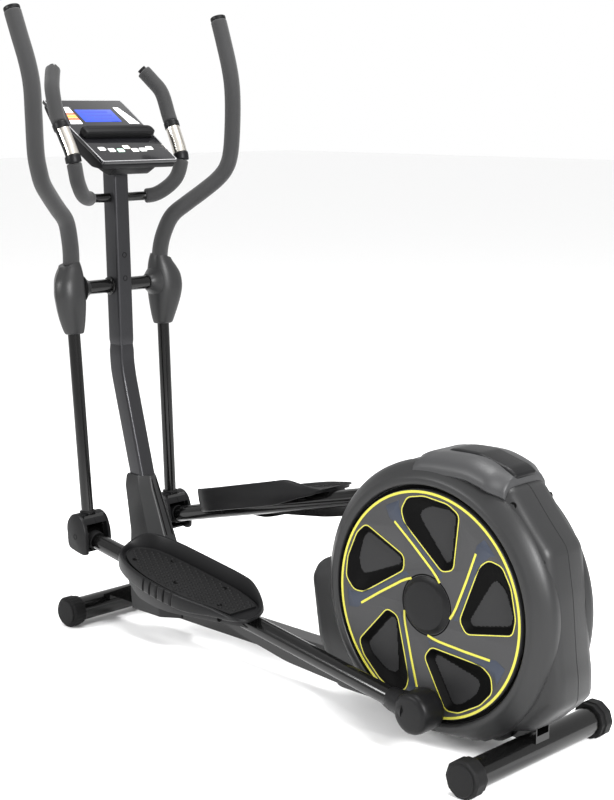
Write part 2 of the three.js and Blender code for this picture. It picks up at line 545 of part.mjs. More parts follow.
// local frame of an arm: origin at the cross axle, -Z along the arm, outward along +/-Y
function handleCurve(side) {
  const p = (x, y, z) => new THREE.Vector3(x, side * y, z);
  return new THREE.CatmullRomCurve3([
    p(0, 141, 22), p(5, 138, 72), p(14, 145, 118), p(29, 163, 163), p(48, 198, 193), p(68, 231, 219),
    p(90, 266, 250),
    p(105, 285, 280), p(112, 295, 322), p(119, 298, 400), p(121, 298, 470), p(112, 299, 525),
    p(92, 301, 590), p(72, 302, 652),
  ], false, 'centripetal');
}
function swingArm(side) {
  const [y0, y1] = span(side, ARM_Y - 30, ARM_Y + 30);
  const v = (y, z) => new THREE.Vector3(0, side * y, z);
  const sleeve = rod(20, y0, y1);
  const tube = straightTube(v(ARM_Y, -15), v(ARM_Y, -ARM_LENGTH + 52), TUBE.arm);
  const yoke = box(-24, 24, ...span(side, ARM_Y - FORK.outer, ARM_Y + FORK.outer), -ARM_LENGTH + 44,
    -ARM_LENGTH + 58);
  const cheek = (near, far) => join(rod(FORK.r - 6, ...span(side, near, far), 0, -ARM_LENGTH),
    box(-22, 22, ...span(side, near, far), -ARM_LENGTH, -ARM_LENGTH + 50));
  const bolt = rod(8, ...span(side, ARM_Y - FORK.outer - 6, ARM_Y + FORK.outer + 6), 0, -ARM_LENGTH);
  return join(cut(join(sleeve, tube), rod(12.3, y0 - 5, y1 + 5)), yoke,
    cheek(ARM_Y - FORK.outer, ARM_Y - FORK.inner), cheek(ARM_Y + FORK.inner, ARM_Y + FORK.outer), bolt);
}
function kneeCover(side) {
  const height = (t) => -92 + 176 * t;
  const half = (t) => 40 * Math.sqrt(Math.sin(Math.PI * Math.min(1, 0.08 + 0.86 * t)));
  const outlineXZ = [];
  for (let i = 0; i <= 8; i += 1) outlineXZ.push([half(i / 8), height(i / 8)]);
  for (let i = 8; i >= 0; i -= 1) outlineXZ.push([-half(i / 8) * 1.05, height(i / 8)]);
  const body = plate(outlineXZ, ...span(side, ARM_Y - 31, ARM_Y + 37));
  const shaft = rod(12.3, ...span(side, ARM_Y - 60, axleEnd + GAP));
  return cut(body, rod(20.4, ...span(side, ARM_Y - 30.3, ARM_Y + 30.3)), shaft,
    rod(AXLE_R + GAP, ...span(side, 80, 112)),
    straightTube(new THREE.Vector3(0, side * ARM_Y, -5), new THREE.Vector3(0, side * ARM_Y, -120),
    TUBE.arm + 0.5),
    straightTube(new THREE.Vector3(0, side * 141.5, 4), new THREE.Vector3(0, side * 141, 34),
    TUBE.handle + 1.5),
    bentTube(handleCurve(side), TUBE.foam + 0.8, 0, 18));
}
function clevisCover(side) {
  const shape = roundedRect(-38, 38, -ARM_LENGTH - 38, -ARM_LENGTH + 78, 30);
  const lobes = join(plate(shape, ...span(side, ARM_Y + FORK.outer - 1, ARM_Y + FORK.outer + 10)),
    plate(shape, ...span(side, ARM_Y - FORK.outer - 10, ARM_Y - FORK.outer + 1)),
    box(-30, -24.5, ...span(side, ARM_Y - FORK.outer - 2, ARM_Y + FORK.outer + 2), -ARM_LENGTH - 4,
    -ARM_LENGTH + 72));
  const inside = box(-24.4, 24.4, ...span(side, ARM_Y - FORK.outer - GAP, ARM_Y + FORK.outer + GAP),
    -ARM_LENGTH - 45, -ARM_LENGTH + 58 + GAP);
  return cut(lobes, inside, rod(FORK.r - 5.6,
    ...span(side, ARM_Y - FORK.outer - GAP, ARM_Y + FORK.outer + GAP), 0, -ARM_LENGTH),
    rod(8.3, ...span(side, ARM_Y - FORK.outer - 6.3, ARM_Y + FORK.outer + 6.3), 0, -ARM_LENGTH),
    rod(44, ...span(side, ARM_Y - FORK.outer - GAP, ARM_Y + FORK.outer + GAP), 0, -ARM_LENGTH));
}

// local frame of a rail: origin at its front pivot, +X along the rail to the crank pin
const PEDAL = { x0: 170, x1: 615, inner: 74, floor: 24, innerRim: 64, outerRim: 36, tailX: 572 };
// plan of the foot tray: [along the rail, distance from the middle plane], tapered at the tail
// to clear the housing
const trayPlan = (side) => new THREE.CatmullRomCurve3([
  [174, 104], [202, 82], [268, 75], [400, 74], [489, 77], [562, 95], [602, 134], [615, 178], [598, 208],
  [528, 224], [430, 244], [330, 245], [240, 228], [184, 192], [169, 148],
].map(([x, y]) => new THREE.Vector3(x, side * y, 0)), true)
  .getPoints(28).slice(0, -1).map(({ x, y }) => [x, y]);
function rail(side) {
  const v = (x) => new THREE.Vector3(x, side * ARM_Y, 0);
  const hubs = [0, RAIL_LENGTH].map((x) => rod(HUB.r, ...span(side, ARM_Y - HUB.half, ARM_Y + HUB.half),
    x, 0));
  const tube = straightTube(v(HUB.r - 6), v(RAIL_LENGTH - HUB.r + 6), TUBE.rail, TUBE.rail - TUBE_WALL);
  const web = plate([[330, -17], [990, -17], [900, -26], [700, -44], [560, -40]],
    ...span(side, ARM_Y - 2.5, ARM_Y + 2.5));
  const strut = (x) => box(x - 15, x + 15, ...span(side, ARM_Y - 6, ARM_Y + 60), 14, PEDAL.floor - 6 - GAP);
  const bore = rod(8.3, ...span(side, 90, 200), 0, 0);
  return cut(join(tube, ...hubs, web, strut(270), strut(500)), bore);
}
function pedalTray(side) {
  const plan = trayPlan(side);
  const full = slab(plan, PEDAL.floor - 6, PEDAL.innerRim);
  const hollow = slab(inset(plan, 6), PEDAL.floor, PEDAL.innerRim + 10);
  // the rim is high along the inner side and low along the outer side
  const geometry = new THREE.ExtrudeGeometry(new THREE.Shape([[0, PEDAL.innerRim + 1], [34, PEDAL.innerRim],
    [70, PEDAL.outerRim], [200, PEDAL.outerRim], [200, 120],
    [0, 120]].map(([y, z]) => new THREE.Vector2(y, z))),
  { depth: 600, bevelEnabled: false });
  geometry.rotateX(Math.PI / 2);
  geometry.rotateZ(Math.PI / 2);
  geometry.translate(100, 0, 0);
  const trim = side > 0 ? toSolid(geometry).translate([0, PEDAL.inner, 0])
    : toSolid(geometry).mirror([0, 1, 0]).translate([0, -PEDAL.inner, 0]);
  const skirt = plate([[250, 20], [262, -20], [300, -38], [374, -30], [459, -16], [560, 4], [590, 20]],
    ...span(side, 208, 220));
  const railRelief = box(PEDAL.x0 - 20, PEDAL.x1 + 20, ...span(side, ARM_Y - 22, ARM_Y + 22), -40,
    PEDAL.floor - 3);
  return cut(join(full, skirt), hollow, trim, railRelief);
}
function pedalTread(side) {
  const level = box(0, PEDAL.tailX, ...span(side, 0, 400), 0, 100);
  return slab(inset(trayPlan(side), 9), PEDAL.floor + GAP, PEDAL.floor + 6).intersect(level);
}
function railEndCover(side) {
  const y = (d) => side * (ARM_Y + d);
  const body = turned([[0, y(-37)], [36, y(-37)], [44, y(-28)], [44, y(14)], [36, y(25)], [18, y(30)],
    [0, y(30)]],
    RAIL_LENGTH, 0, 16);
  return cut(body, rod(HUB.r + GAP, ...span(side, ARM_Y - HUB.half - GAP, ARM_Y + HUB.half + GAP),
    RAIL_LENGTH, 0),
    straightTube(new THREE.Vector3(RAIL_LENGTH - 80, side * ARM_Y, 0),
    new THREE.Vector3(RAIL_LENGTH, side * ARM_Y, 0),
      TUBE.rail + 0.5));
}
for (const [label, side] of SIDES) {
  const { heel, armTilt, railTilt } = linkage(side);
  const arm = new THREE.Group();
  arm.position.set(ARM_PIVOT.x, 0, ARM_PIVOT.z);
  arm.rotation.y = -armTilt;
  trainer.add(arm);
  const curve = handleCurve(side);
  const sleeveClear = rod(20.3, ...span(side, 100, 200));
  add(`swing_arm_${label}`, swingArm(side), gloss, arm);
  add(`handle_tube_${label}`, cut(bentTube(curve, TUBE.handle, 12.5, 18), sleeveClear), gloss, arm);
  add(`handle_grip_${label}`, bentTube(stretch(curve, 0.125, 0.995, 24), TUBE.foam, TUBE.handle + 1.9,
    18), foam, arm);
  add(`knee_cover_${label}`, kneeCover(side), charcoal, arm);
  add(`clevis_cover_${label}`, clevisCover(side), charcoal, arm);

  const railGroup = new THREE.Group();
  railGroup.position.set(heel.x, 0, heel.z);
  railGroup.rotation.y = -railTilt;
  trainer.add(railGroup);
  add(`pedal_rail_${label}`, rail(side), gloss, railGroup);
  add(`pedal_tray_${label}`, pedalTray(side), charcoal, railGroup);
  add(`pedal_tread_${label}`, pedalTread(side), rubber, railGroup);
  add(`rail_end_cover_${label}`, railEndCover(side), charcoal, railGroup);
}

export default trainer;
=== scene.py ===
"""Looks of a rear-drive elliptical trainer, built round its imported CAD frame.

Shapes are written in millimetres and scaled to metres when a piece is made. Paired pieces are written once,
for the side where Y is positive, and mirrored.
"""
import json
import math

import bmesh
import bpy
from mathutils import Matrix, Vector
from mathutils.geometry import tessellate_polygon


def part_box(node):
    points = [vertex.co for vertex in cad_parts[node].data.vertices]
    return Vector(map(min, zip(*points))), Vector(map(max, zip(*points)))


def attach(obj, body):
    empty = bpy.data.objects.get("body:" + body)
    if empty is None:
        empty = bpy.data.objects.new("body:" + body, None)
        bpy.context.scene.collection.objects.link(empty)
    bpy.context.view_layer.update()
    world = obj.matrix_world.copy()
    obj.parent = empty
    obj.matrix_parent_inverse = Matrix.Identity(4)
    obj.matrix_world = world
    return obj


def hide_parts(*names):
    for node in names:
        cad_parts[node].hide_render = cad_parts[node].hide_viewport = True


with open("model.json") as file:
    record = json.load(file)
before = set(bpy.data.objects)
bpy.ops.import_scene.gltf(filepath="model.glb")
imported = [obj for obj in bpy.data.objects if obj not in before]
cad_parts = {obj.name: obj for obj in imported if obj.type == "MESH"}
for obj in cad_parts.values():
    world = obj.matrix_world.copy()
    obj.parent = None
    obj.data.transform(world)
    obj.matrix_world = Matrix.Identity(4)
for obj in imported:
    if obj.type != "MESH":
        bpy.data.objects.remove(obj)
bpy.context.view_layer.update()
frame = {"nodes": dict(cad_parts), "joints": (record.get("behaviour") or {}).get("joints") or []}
MM = 0.001
SIDES = (("left", -1), ("right", 1))


# ---- places, from the frame
def node_box(node):
    low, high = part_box(node)
    return low / MM, high / MM


def middle(node):
    low, high = node_box(node)
    return (low + high) / 2


JOINTS = {joint["name"]: joint for joint in frame["joints"]}


def pivot(joint):
    return Vector(JOINTS[joint]["pos_m"]) / MM


def local_frame(x, z, tilt, side=1):
    """A frame turned about Y, with its own Y pointing outward on the given side."""
    turn = Matrix.Translation((x, 0, z)) @ Matrix.Rotation(tilt, 4, "Y")
    return turn @ Matrix.Diagonal((1, side, 1, 1))


def mirrored(side):
    return Matrix.Diagonal((1, side, 1, 1))


CRANK = pivot("crank_turn")
ARM_PIVOT = pivot("arm_swing_left")
ARM_Y = abs(ARM_PIVOT.y)


def arm_frame(label, side):
    heel = pivot(f"rail_pivot_{label}")
    tilt = math.atan2(heel.x - ARM_PIVOT.x, ARM_PIVOT.z - heel.z)
    return local_frame(ARM_PIVOT.x, ARM_PIVOT.z, -tilt, side)


def rail_frame(label, side):
    heel = pivot(f"rail_pivot_{label}")
    pin = middle(f"rail_end_cover_{label}")
    return local_frame(heel.x, heel.z, -math.atan2(pin.z - heel.z, pin.x - heel.x), side)


def flat_distance(a, b):
    return math.hypot(a.x - b.x, a.z - b.z)


ARM_LENGTH = flat_distance(ARM_PIVOT, pivot("rail_pivot_left"))
RAIL_LENGTH = flat_distance(pivot("rail_pivot_left"), middle("rail_end_cover_left"))


# ---- materials
def material(name, color, roughness, metallic=0.0, coat=0.0, grain=900, bump=0.06, tint=0.12,
             stretch=(1, 1, 1), specular=0.25, sheen=0.0, glow=0.0):
    """A procedural finish: slow colour drift, fine grain in the surface and a little uneven gloss."""
    made = bpy.data.materials.new(name)
    made.use_nodes = True
    nodes, links = made.node_tree.nodes, made.node_tree.links
    shader = nodes["Principled BSDF"]
    shader.inputs["Metallic"].default_value = metallic
    shader.inputs["Coat Weight"].default_value = coat
    shader.inputs["Specular IOR Level"].default_value = specular
    shader.inputs["Coat Roughness"].default_value = 0.08
    shader.inputs["Sheen Weight"].default_value = sheen
    if glow:
        shader.inputs["Emission Color"].default_value = (*color, 1)
        shader.inputs["Emission Strength"].default_value = glow
    place = nodes.new("ShaderNodeTexCoord")
    stretcher = nodes.new("ShaderNodeMapping")
    stretcher.inputs["Scale"].default_value = stretch
    links.new(place.outputs["Object"], stretcher.inputs["Vector"])

    def noise(scale, detail):
        node = nodes.new("ShaderNodeTexNoise")
        node.inputs["Scale"].default_value = scale
        node.inputs["Detail"].default_value = detail
        links.new(stretcher.outputs["Vector"], node.inputs["Vector"])
        return node.outputs["Fac"]

    def ramp(value, low, high):
        node = nodes.new("ShaderNodeMapRange")
        node.inputs["To Min"].default_value = low
        node.inputs["To Max"].default_value = high
        links.new(value, node.inputs["Value"])
        return node.outputs["Result"]

    drift, fine = noise(9, 3), noise(grain, 4)
    shade = nodes.new("ShaderNodeMix")
    shade.data_type = "RGBA"
    shade.inputs["A"].default_value = (*[c * (1 - tint) for c in color], 1)
    shade.inputs["B"].default_value = (*[min(1, c * (1 + tint)) for c in color], 1)
    mixed = nodes.new("ShaderNodeMath")
    mixed.operation = "ADD"
    links.new(ramp(drift, 0, 0.6), mixed.inputs[0])
    links.new(ramp(fine, 0, 0.4), mixed.inputs[1])
    links.new(mixed.outputs[0], shade.inputs["Factor"])
    links.new(shade.outputs["Result"], shader.inputs["Base Color"])
    links.new(ramp(fine, max(0.02, roughness - 0.07), min(1, roughness + 0.07)), shader.inputs["Roughness"])
    surface = nodes.new("ShaderNodeBump")
    surface.inputs["Strength"].default_value = bump
    surface.inputs["Distance"].default_value = 0.0004
    links.new(fine, surface.inputs["Height"])
    links.new(surface.outputs["Normal"], shader.inputs["Normal"])
    return made


GLOSS = material("gloss_black_coat", (0.002, 0.002, 0.002), 0.2, coat=0.25, grain=500, bump=0.04,
                 specular=0.15)
GRAPHITE = material("graphite_coat", (0.028, 0.028, 0.03), 0.32, metallic=0.8, coat=0.1, grain=2200,
                    tint=0.2)
PLASTIC = material("textured_charcoal", (0.004, 0.004, 0.0043), 0.4, grain=1600, bump=0.25, specular=0.12)
SATIN = material("satin_charcoal", (0.012, 0.0121, 0.0124), 0.4, grain=1500, bump=0.25, specular=0.22)
PALE_PLASTIC = material("satin_grey", (0.023, 0.0232, 0.024), 0.42, grain=1300, bump=0.3)
DISC = material("disc_grey", (0.026, 0.026, 0.027), 0.42, metallic=0.2, grain=1800, bump=0.1)
SLATE = material("slate_flare", (0.022, 0.027, 0.04), 0.4, metallic=0.25, grain=1500)
YELLOW = material("yellow_line", (0.36, 0.34, 0.04), 0.38, grain=1200, tint=0.06)
GRILLE = material("woven_grille", (0.012, 0.012, 0.0125), 0.45, grain=2500, bump=0.2, specular=0.15)
# deep black: the real colour of the screws and the boot seams, and also painted shade on the housing web
# behind the discs, the walls of the disc windows, the inside of the knee covers' mouths and the ring round
# the hub covers
BLACK_AND_SHADE = material("black_and_painted_shade", (0.001, 0.001, 0.001), 0.6, grain=1500, specular=0.05)
FOAM = material("closed_cell_foam", (0.013, 0.013, 0.0134), 0.8, grain=2600, bump=0.5, tint=0.2,
                sheen=0.15)
STEEL = material("brushed_plate", (0.6, 0.57, 0.52), 0.27, metallic=1.0, grain=300, bump=0.12,
                 stretch=(6, 6, 0.4))
IRON = material("turned_iron", (0.2, 0.2, 0.2), 0.45, metallic=0.9, grain=700, bump=0.3)
RUBBER = material("matte_rubber", (0.004, 0.004, 0.0042), 0.6, grain=1800, bump=0.5, specular=0.12)
PANEL = material("printed_panel", (0.006, 0.006, 0.007), 0.16, coat=0.4, grain=700, bump=0.02)
LCD = material("lit_display", (0.01, 0.035, 0.3), 0.12, coat=0.6, grain=300, bump=0.0, glow=0.35)
LCD_DARK = material("display_segments", (0.008, 0.025, 0.24), 0.12, coat=0.6, grain=300, bump=0.0,
                    glow=0.2)
KEY_WHITE = material("white_key", (0.72, 0.73, 0.72), 0.4, grain=900, tint=0.04)
KEY_GREEN = material("green_key", (0.45, 0.68, 0.55), 0.4, grain=900, tint=0.04)
KEY_CREAM = material("cream_key", (0.7, 0.66, 0.55), 0.4, grain=900, tint=0.04)
LABEL = material("white_label", (0.78, 0.78, 0.78), 0.45, grain=800, tint=0.04)
LABEL_RED = material("red_band", (0.7, 0.09, 0.03), 0.45, grain=800, tint=0.06)
LABEL_ORANGE = material("orange_band", (0.85, 0.28, 0.05), 0.45, grain=800, tint=0.06)
SILVER = material("silver_trim", (0.62, 0.62, 0.63), 0.3, metallic=0.9, grain=900)

# record slot and materials of the commonest finishes
PAINTED = ("gloss_black_paint", [GLOSS])
MOULDED = ("charcoal_plastic", [PLASTIC])
SATIN_SHELL = ("charcoal_plastic", [SATIN, BLACK_AND_SHADE])
RUBBERY = ("black_rubber", [RUBBER])
FOAMED = ("black_foam", [FOAM])


# ---- shapes
def catmull_rom(p0, p1, p2, p3, t):
    return 0.5 * (2 * p1 + (p2 - p0) * t + (2 * p0 - 5 * p1 + 4 * p2 - p3) * t ** 2
                  + (3 * p1 - p0 - 3 * p2 + p3) * t ** 3)


def smooth_curve(points, per_span=8, closed=False):
    """A curve through the points."""
    points = [Vector(p) for p in points]
    count = len(points)
    spans = count if closed else count - 1

    def at(i):
        if closed:
            return points[i % count]
        if i < 0:
            return points[0] * 2 - points[1]
        return points[i] if i < count else points[-1] * 2 - points[-2]

    made = []
    for i in range(spans):
        around = [at(i + k) for k in (-1, 0, 1, 2)]
        made += [catmull_rom(*around, step / per_span) for step in range(per_span)]
    return made if closed else made + [points[-1]]


def stretch_of(points, start, end, count=40):
    """Evenly spaced points on the part of a curve between two fractions of its length."""
    reach = [0.0]
    for a, b in zip(points, points[1:]):
        reach.append(reach[-1] + (b - a).length)
    made = []
    for i in range(count + 1):
        want = (start + (end - start) * i / count) * reach[-1]
        k = max(1, next((n for n, r in enumerate(reach) if r >= want), len(reach) - 1))
        share = (want - reach[k - 1]) / max(1e-9, reach[k] - reach[k - 1])
        made.append(points[k - 1].lerp(points[k], share))
    return made


def oblong(a0, b0, a1, b1):
    """The corners of a rectangle, from two opposite ones."""
    return [(a0, b0), (a1, b0), (a1, b1), (a0, b1)]


def rounded(outline, radius, steps=4):
    """A closed outline of (a, b) points with its corners rounded."""
    made, count = [], len(outline)
    for i in range(count):
        before, here, after = (Vector(outline[(i + k) % count]) for k in (-1, 0, 1))
        start = here + (before - here).normalized() * min(radius, (before - here).length * 0.45)
        end = here + (after - here).normalized() * min(radius, (after - here).length * 0.45)
        for step in range(steps + 1):
            t = step / steps
            made.append(start.lerp(here, t).lerp(here.lerp(end, t), t))
    return [tuple(p) for p in made]


def inset(outline, distance):
    """A closed outline moved inward; each point moves along the mean of its two edges' normals."""
    area = sum(a[0] * b[1] - b[0] * a[1] for a, b in zip(outline, outline[1:] + outline[:1]))
    sign = 1 if area > 0 else -1
    made, count = [], len(outline)
    for i in range(count):
        tangent = Vector(outline[(i + 1) % count]) - Vector(outline[i - 1])
        normal = Vector((-tangent.y, tangent.x)).normalized() * sign
        made.append(tuple(Vector(outline[i]) + normal * distance))
    return made


def smooth_levels(rows, per_span):
    """Rows of numbers with smooth steps added between them."""
    made = []
    for i in range(len(rows) - 1):
        around = [rows[max(0, min(len(rows) - 1, i + k))] for k in (-1, 0, 1, 2)]
        for step in range(per_span):
            made.append([catmull_rom(*column, step / per_span) for column in zip(*around)])
    return made + [list(rows[-1])]


def ease(value, low, high):
    t = max(0, min(1, (value - low) / (high - low)))
    return t * t * (3 - 2 * t)


def ellipse(rx, ry, count=48, power=2.0):
    made = []
    for i in range(count):
        c, s = math.cos(2 * math.pi * i / count), math.sin(2 * math.pi * i / count)
        a, b = (math.copysign(abs(v) ** (2 / power), v) for v in (c, s))
        made.append((a * rx, b * ry))
    return made


def add_object(name, data):
    """A new object in the scene that holds a mesh, a light or a camera."""
    made = bpy.data.objects.new(name, data)
    bpy.context.scene.collection.objects.link(made)
    return made


# profiles of solid ends stop this far from their axis, where the last ring is capped
AXIS_R = 0.5


class Solid:
    """Closed surfaces collected in millimetres, then made into one piece."""

    def __init__(self):
        self.bm = bmesh.new()

    def loft(self, rings, loop=False, capped=True, mat=0):
        """Skin through rings of equal length, whose ends are joined up, capped or left open."""
        rows = [[self.bm.verts.new(p) for p in ring] for ring in rings]
        pairs = list(zip(rows, rows[1:])) + ([(rows[-1], rows[0])] if loop else [])
        faces = []
        for a, b in pairs:
            for i in range(len(a)):
                j = (i + 1) % len(a)
                faces.append(self.bm.faces.new((a[i], a[j], b[j], b[i])))
        if capped and not loop:
            faces += [self.bm.faces.new(rows[0]), self.bm.faces.new(rows[-1])]
        for face in faces:
            face.material_index = mat
        return self

    def turn(self, profile, x=0, z=0, segments=64, shape=None, loop=False, capped=True, mat=0):
        """A body of revolution about the line along Y through (x, z), from (radius, y) points."""
        rings = []
        for r, y in profile:
            ring = []
            for i in range(segments):
                a = 2 * math.pi * i / segments
                radius = shape(a, r) if shape else r
                ring.append((x + radius * math.cos(a), y, z + radius * math.sin(a)))
            rings.append(ring)
        return self.loft(rings, loop=loop, capped=capped, mat=mat)

    def sweep(self, points, section, reference=Vector((1, 0, 0)), scales=None, mat=0):
        """A 2-D section carried along a curve, its first axis held towards the reference."""
        rings = []
        for i, point in enumerate(points):
            ahead, behind = points[min(i + 1, len(points) - 1)], points[max(i - 1, 0)]
            tangent = (ahead - behind).normalized()
            first = (reference - tangent * reference.dot(tangent)).normalized()
            second = tangent.cross(first)
            scale = scales[i] if scales else 1
            rings.append([point + (first * a + second * b) * scale for a, b in section])
        return self.loft(rings, mat=mat)

    def sleeve(self, points, radius, ends=3.0, sides=32, reference=Vector((1, 0, 0)), mat=0):
        """A round bar along a curve with softly rounded ends."""
        length = sum((b - a).length for a, b in zip(points, points[1:]))
        fractions = [0, 0.12 * ends / length, 0.45 * ends / length, ends / length]
        path = [stretch_of(points, f, f, 1)[0] for f in fractions]
        path += [p for p in stretch_of(points, fractions[3], 1 - fractions[3], len(points))[1:-1]]
        path += [stretch_of(points, 1 - f, 1 - f, 1)[0] for f in reversed(fractions)]
        shrink = [1 - ends / radius, 1 - 0.55 * ends / radius, 1 - 0.16 * ends / radius, 1]
        scales = shrink + [1] * (len(path) - 8) + shrink[::-1]
        return self.sweep(path, ellipse(radius, radius, sides), reference, scales, mat)

    def prism(self, outline, y0, y1, mat=0):
        """An outline in the XZ plane, between y0 and y1."""
        return self.loft([[(x, y, z) for x, z in outline] for y in (y0, y1)], mat=mat)

    def slab(self, outline, z0, z1, mat=0):
        """An outline in the XY plane, between z0 and z1."""
        return self.loft([[(x, y, z) for x, y in outline] for z in (z0, z1)], mat=mat)

    def stepped_prism(self, outline, steps, y=0, side=1):
        """An outline in the XZ plane, as steps of how far out from y and how far drawn in there."""
        return self.loft([[(x, y + side * out, z) for x, z in inset(outline, cut)] for out, cut in steps])

    def stepped_slab(self, outline, steps):
        """An outline in the XY plane, as steps of height and how far drawn in there."""
        return self.loft([[(x, y, height) for x, y in inset(outline, cut)] for height, cut in steps])

    def bevel(self, width, segments=3, angle=32):
        """Rounds every edge so far that is sharper than the angle."""
        bmesh.ops.recalc_face_normals(self.bm, faces=self.bm.faces)
        limit = math.radians(angle)
        pairs = [edge for edge in self.bm.edges if len(edge.link_faces) == 2]
        sharp = [edge for edge in pairs if edge.calc_face_angle(0) > limit]
        bmesh.ops.bevel(self.bm, geom=sharp, offset=width, segments=segments, profile=0.5, affect="EDGES",
                        clamp_overlap=True)
        return self

    def build(self, name, body, slot, materials, replaces=(), place=Matrix(), smooth=38):
        self.bm.transform(Matrix.Scale(MM, 4) @ place)
        bmesh.ops.recalc_face_normals(self.bm, faces=self.bm.faces)
        mesh = bpy.data.meshes.new(name)
        self.bm.to_mesh(mesh)
        self.bm.free()
        for each in materials:
            mesh.materials.append(each)
        mesh.shade_smooth()
        mesh.set_sharp_from_angle(angle=math.radians(smooth))
        piece = add_object(name, mesh)
        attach(piece, body)
        if replaces:
            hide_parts(*replaces)
        return piece


def screw(name, body, centre, direction, place=Matrix(), radius=4.5):
    """A socket screw sunk in its counterbore, facing along direction."""
    to_axis = Vector((0, 1, 0)).rotation_difference(Vector(direction)).to_matrix().to_4x4()
    bore = radius + 1.6
    profile = [(bore, -2), (bore, 0.25), (radius, 0.3), (radius - 0.3, -0.8), (radius - 1.2, -0.3),
               (radius * 0.5, -0.25), (radius * 0.42, -1.6), (0.3, -1.7)]
    head = Solid().turn(profile, segments=24)
    seat = place @ Matrix.Translation(centre) @ to_axis
    head.build(name, body, "gloss_black_paint", [BLACK_AND_SHADE], place=seat)


def screw_row(name, body, centres, direction, place=Matrix(), radius=4.5):
    for number, centre in enumerate(centres):
        screw(f"{name}_{number + 1}", body, centre, direction, place, radius)


def dress(node, look):
    """Gives a carried CAD node its material."""
    mesh = frame["nodes"][node].data
    mesh.materials.clear()
    mesh.materials.append(look)


# ---- base
def base():
    for end in ("front", "rear"):
        low, high = node_box(f"{end}_stabilizer")
        centre = (low + high) / 2
        r = (high.z - low.z) / 2
        half = high.y
        profile = [(r - 2, -half), (r, -half + 1), (r, half - 1), (r - 2, half)]
        tube = Solid().turn(profile, centre.x, centre.z)
        tube.build(f"{end}_floor_tube", "root", *PAINTED, [f"{end}_stabilizer"])
    dress("base_frame", GLOSS)


def flat_sided(sides, soften=0.987):
    """Radius of a polygon with a flat at the bottom and slightly rounded corners; r is to the flats."""
    def shape(angle, r):
        step = 2 * math.pi / sides
        off = (angle + math.pi / 2 + step / 2) % step - step / 2
        return min(r / math.cos(off), r / math.cos(step / 2) * soften)
    return shape


CAP_R, FLUTES, FLUTE_DEPTH, REAR_FLATS = 39, 24, 0.9, 10


def fluted(angle, r):
    return r - FLUTE_DEPTH * (0.5 - 0.5 * math.cos(FLUTES * (angle + math.pi / 2)))


def end_caps():
    """Fluted caps in front and flat-sided ones behind, each with a raised disc on its face."""
    for label, side in SIDES:
        for end, node in (("front", f"front_roller_{label}"), ("rear", f"rear_leveler_{label}")):
            low, high = node_box(node)
            centre = (low + high) / 2
            near, far = sorted((abs(low.y), abs(high.y)))
            grip = [(31, near), (CAP_R - 5, near), (CAP_R - 3, near + 1), (CAP_R - 3, near + 11),
                    (CAP_R, near + 12.5), (CAP_R, far - 9), (CAP_R - 3, far - 5), (CAP_R - 7, far - 4)]
            face = [(CAP_R - 6.5, far - 8), (CAP_R - 6.5, far - 2.5), (CAP_R - 8.5, far - 0.6),
                    (CAP_R - 18, far), (AXIS_R, far)]
            outer = fluted if end == "front" else flat_sided(REAR_FLATS)
            cap = Solid().turn(grip, centre.x, centre.z, 120, outer)
            cap.turn(face, centre.x, centre.z, 64)
            cap.build(f"{end}_cap_{label}", node, *RUBBERY, [node], mirrored(side), smooth=28)


# ---- post, boot and cross axle
POST_BEND_Z = 665
POST_AT_BEND = -617.7
UPPER_HALF_X, LOWER_HALF_X, POST_HALF_Y, POST_CORNER, POST_STEPS = 24, 24.6, 22, 7, 40
POST_BOLTS = (886, 943)


def post_x(z):
    """Middle of the post at a height, with the bend eased over 60 mm."""
    def sharp(h):
        return POST_AT_BEND - (h - POST_BEND_Z) * (0.027 if h > POST_BEND_Z else 0.27)
    return sum(sharp(z + d) for d in range(-30, 31, 6)) / 11


def rounded_box(x, half_x, half_y, r):
    return rounded(oblong(x - half_x, -half_y, x + half_x, half_y), r)


def post():
    for name, node in (("post_lower", "lower_post"), ("post_upper", "upper_post")):
        low, high = node_box(node)
        levels = [low.z + (high.z - low.z) * i / POST_STEPS for i in range(POST_STEPS + 1)]
        rings = []
        for z in levels:
            edge = 1.2 if z in (levels[0], levels[-1]) else 0
            half_x = UPPER_HALF_X if z > POST_BEND_Z else LOWER_HALF_X
            outline = rounded_box(post_x(z), half_x - edge, POST_HALF_Y - edge, POST_CORNER)
            rings.append([(x, y, z) for x, y in outline])
        Solid().loft(rings).build(name, "root", "graphite_paint", [GRAPHITE], [node])
    centres = [(post_x(z) + UPPER_HALF_X, 0, z) for z in POST_BOLTS]
    screw_row("post_bolt", "root", centres, (1, 0, 0), radius=5)


# the moulded boot from floor to mouth: height, front edge, rear edge, half width
BOOT = [(73, -531, -379, 55.5), (84, -533, -383, 55), (150, -541, -406, 51.5), (265, -550, -447, 39.7),
        (330, -566, -475, 35), (375, -577.6, -496, 31.8), (399, -577.6, -504, 28),
        (404.8, -575, -507, 26)]
SEAM_FOOT, SEAM_HEAD, SEAM_R = (-446.4, 9, 266), (-503.4, 7, 398), 1.1


def boot():
    """A tapering shell with its rear corners cut off and two dark seams up its rear face."""
    rings = []
    for z, front, rear, half in BOOT:
        cut = 0.42 * half + 6
        outline = [(front, -half), (rear - 1.5 * cut, -half), (rear, -half + cut), (rear, half - cut),
                   (rear - 1.5 * cut, half), (front, half)]
        rings.append([(x, y, z) for x, y in rounded(outline, 4)])
    made = Solid().loft(rings)
    for side in (-1, 1):
        seam = [Vector((x, side * y, z)) for x, y, z in (SEAM_FOOT, SEAM_HEAD)]
        made.sweep(seam, ellipse(SEAM_R, SEAM_R, 10), Vector((0, 1, 0)), mat=1)
    made.build("boot_cover", "root", *SATIN_SHELL, ["post_boot"])


AXLE_R, AXLE_PIN_R, AXLE_START, AXLE_END, AXLE_PIN_END = 17, 12, 22.3, 110, 176


